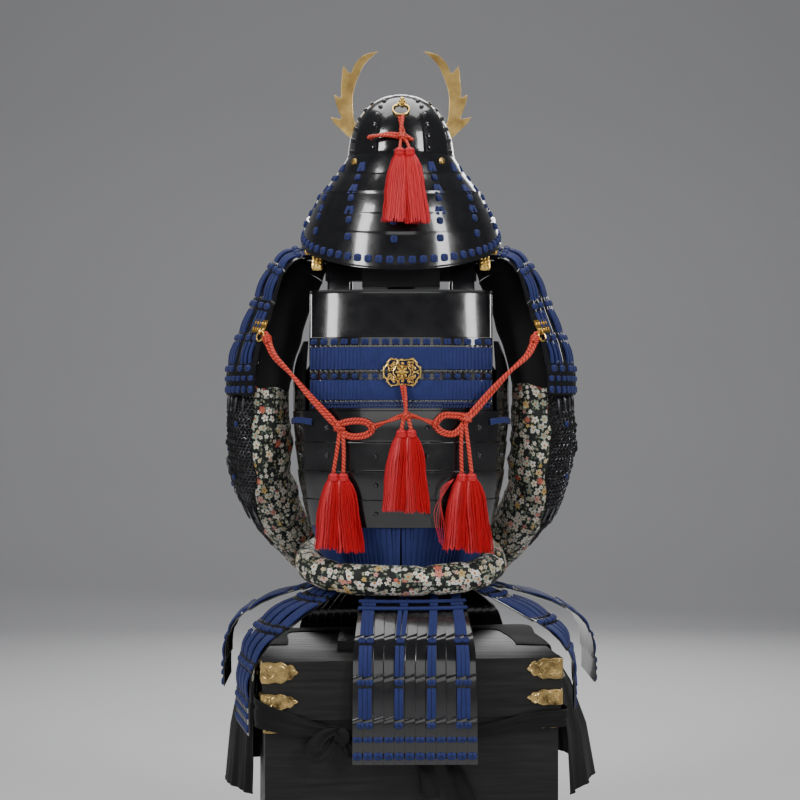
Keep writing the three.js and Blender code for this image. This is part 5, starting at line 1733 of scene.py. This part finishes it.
# Middle line of the tie round the box, and its half width
TIE = (
    (-295, -62, 428, 26),
    (-282.5, -180, 424, 27),
    (-276, -264, 420, 27),
    (-190, -256, 392, 18),
    (-100, -246.5, 376, 11),
    (30, -233, 368, 9),
    (154, -220, 378, 11),
    (250, -210, 396, 15),
    (324, -203, 402, 17),
    (317, -140, 404, 18),
    (309, -62, 404, 18),
)
# Knot and ends of the tie: x, height, distance from the box and half width
RIBBONS = (
    (
        *((-124, 378, 0, 7), (-140, 352, 6, 12), (-162, 340, 8, 15)),
        *((-170, 356, 8, 15), (-150, 378, 6, 11), (-126, 386, 0, 6)),
    ),
    ((-112, 378, 3, 6), (-100, 352, 7, 11), (-96, 336, 4, 13)),
    ((-122, 386, 5, 12), (-114, 376, 10, 14), (-122, 364, 6, 12)),
    ((30, 372, 0, 6), (44, 330, 0, 12), (54, 290, 4, 15), (60, 250, 2, 17)),
    ((66, 372, 0, 6), (92, 330, 0, 12), (114, 290, 4, 15), (134, 236, 2, 17)),
)
RIBBON_THICK = 1.2


def build_thigh_guard():
    lid_z = LID["top"] + 0.6
    flat_at = lambda u, first, z: Vector((along(RIM, first, u), along(RIM, first + 1, u), z))

    def base(u, v):
        lid, edge, hem = flat_at(u, 0, lid_z), flat_at(u, 2, lid_z), point_at(RIM, u, 4)
        if v < 1 / 6:
            return lid.lerp(edge, 6 * v)
        fallen = look_up(DROP, v, 2)
        p = edge.lerp(hem, look_up(DROP, v, 1))
        p.z = mix(lid_z, hem.z, fallen)
        wave = 7 * fallen * math.sin(9 * TAU * u + 2 * u * u)
        wave += fallen * (2.2 * math.sin(31 * TAU * u + 4 * v) + 1.3 * math.sin(53 * TAU * u - 6 * v))
        if abs(p.y) < 170:
            p.x += math.copysign(wave, p.x)
        else:
            p.y += wave
        return p

    surface = offset_from(base, lambda u, v: flat_at(u, 0, 380 - 200 * v))
    cloth = Piece("thigh_guard_cloth", "cloth")
    cloth.wall(surface, steps(220), steps(36), 1.6, size=GUARD_SIZE)
    shell = cloth.build("thigh_guard", smooth=60)
    hem = Piece("thigh_guard_hem", "cloth")
    hem.tube([surface(u, 0.997, 0.8) for u in steps(220)], 2, 7)
    hem.build()
    patches = Piece("thigh_guard_brocade", "brocade")
    for first, last in ((0.005, 0.075), (0.925, 0.995)):
        form = lambda u, v, offset: surface(mix(first, last, u), mix(0.36, 0.62, v), 1.7 + offset)
        patches.wall(form, steps(16), steps(16), 0.8, size=(0.13, 0.12))
    patches.build()


def build_tie():
    def tie(u, v, offset):
        across = 1 - 2 * v
        twist = 1.6 * math.sin(6 * across + 17 * u) + 1.1 * math.sin(11 * across - 29 * u)
        way = point_at(TIE, min(1, u + 0.01)) - point_at(TIE, max(0, u - 0.01))
        way.z = 0
        out = way.normalized().cross(UP)
        return point_at(TIE, u) + UP * (along(TIE, 3, u) * across) + out * (offset + 1.6 + twist * 0.6)

    band = Piece("thigh_guard_tie_band", "cloth")
    band.wall(tie, steps(120), steps(14), 1.4, size=(1.0, 0.05))
    shell = band.build("thigh_guard_tie", smooth=60)
    knot = Piece("thigh_guard_tie_knot", "cloth")
    uv = lambda i, j: (j * 0.006, i * 0.006)
    for table in RIBBONS:
        route = []
        for x, z, away in curve_through(table, 8 * len(table)):
            route.append(Vector((x, 0.104 * (x + 100) - 254 - away, z)))
        last = len(route) - 1
        rows = []
        for i, p in enumerate(route):
            across = heading(route, i).cross(REAR).normalized() * along(table, 3, i / last)
            fold = lambda s: 2.2 * math.cos(4.5 * s + 0.2 * i) + 1
            rows.append([p + across * s + REAR * fold(s) for s in between(-1, 1, 8)])
        under = [[p - REAR * RIBBON_THICK for p in row] for row in rows]
        knot.grid(rows, uv)
        knot.grid(under, uv, flip=True)
        for k in (0, -1):
            knot.grid([[row[k] for row in rows], [row[k] for row in under]])
            knot.grid([rows[k], under[k]])
    knot.build(smooth=60)


# BOX AND STAND

# How far the box is turned on the floor
YAW = math.radians(6)


def on_box(x, y, z):
    """A point of the box, which is turned a little on the floor."""
    return swing(Vector((x, y, 0)), Vector((-y, x, 0)), 1, YAW) + UP * z


# Lobed outline of a fitting, from the corner on, in shares of its length and height
LOBES = (
    *((0, 0), (0, -1), (0.18, -1.03), (0.36, -0.97), (0.52, -1.03), (0.64, -0.93), (0.7, -0.84)),
    *((0.8, -0.86), (0.87, -0.74), (0.88, -0.64), (0.95, -0.6), (1, -0.5), (0.95, -0.4), (0.88, -0.36)),
    *((0.87, -0.26), (0.8, -0.14), (0.7, -0.16), (0.64, -0.07), (0.52, 0.03), (0.36, -0.03), (0.18, 0.03)),
)


def fitting(piece, corner, side_way, out, length, height, curls):
    """A chased plate with a lobed end, laid from a corner along a side."""
    at = lambda x, z, lift: corner + side_way * (x * length) + UP * (z * height) + out * lift
    points, raised = ([at(x, z, lift) for x, z in LOBES] for lift in (0, 1.8))
    piece.grid([points, raised], wrap=True)
    piece.cap(points)
    piece.cap(raised, flip=True)
    rim = [at(mix(0.45, x, 0.93), mix(-0.5, z, 0.9), 1.9) for x, z in LOBES]
    piece.tube(rim + [rim[0]], 1.5, 6, ends=False)
    for i in range(curls):
        heart = at((i + 0.8) / (curls + 0.9), -0.5, 2.0)
        hand = 1 if i % 2 else -1
        curl = [heart + swing(side_way, UP, height * mix(0.36, 0.05, t), hand * 7.4 * t + i) for t in steps(16)]
        piece.tube(curl, lambda t: mix(1.9, 1.1, t), 6)
        leaf = heart + UP * (0.3 * height * -hand)
        piece.pad(leaf, out, side_way + UP * (0.5 * hand), 0.16 * height, 0.3 * height, 2.6, 2, 10)
    for x, z in ((0.08, -0.14), (0.08, -0.86), (0.62, -0.5)):
        piece.stud(at(x, z, 1.9), out, 2.2, 0.8)


def corner_plates(piece, side, end, proud, z, length, height, curls):
    """Two fittings that meet at an upright edge of the box."""
    corner = on_box(side * (LID["half_width"] + proud), end * (LID["half_depth"] + proud), z)
    inward, deeper = on_box(-side, 0, 0), on_box(0, -end, 0)
    fitting(piece, corner, inward, -deeper, length, height, curls)
    fitting(piece, corner, deeper, -inward, length, height, curls)


def build_box():
    for name, finish, bevel in (
        ("box_body", "wood", 1.6),
        ("box_lid", "wood", 1.6),
        ("stand", "wood", 2.0),
        ("crest_base", "brass", 0.6),
    ):
        keep(name, FINISH[finish], bevel)
    for side, name in SIDES:
        for end, end_name in ((-1, "back"), (1, "front")):
            piece = Piece(f"box_fitting_{end_name}_{name}", "brass")
            corner_plates(piece, side, end, 0.6, LID["top"] - 1, 70, 40, 5)
            piece.build(f"box_corner_{end_name}_{name}", smooth=30)
            lower = Piece(f"box_lower_fitting_{end_name}_{name}", "brass")
            corner_plates(lower, side, end, 0.6, LID["foot"] + 52, 70, 30, 4)
            corner_plates(lower, side, end, -4.6, LID["foot"] - 2, 62, 22, 4)
            lower.build(smooth=30)


build_sleeves()
build_thigh_guard()
build_tie()
build_box()
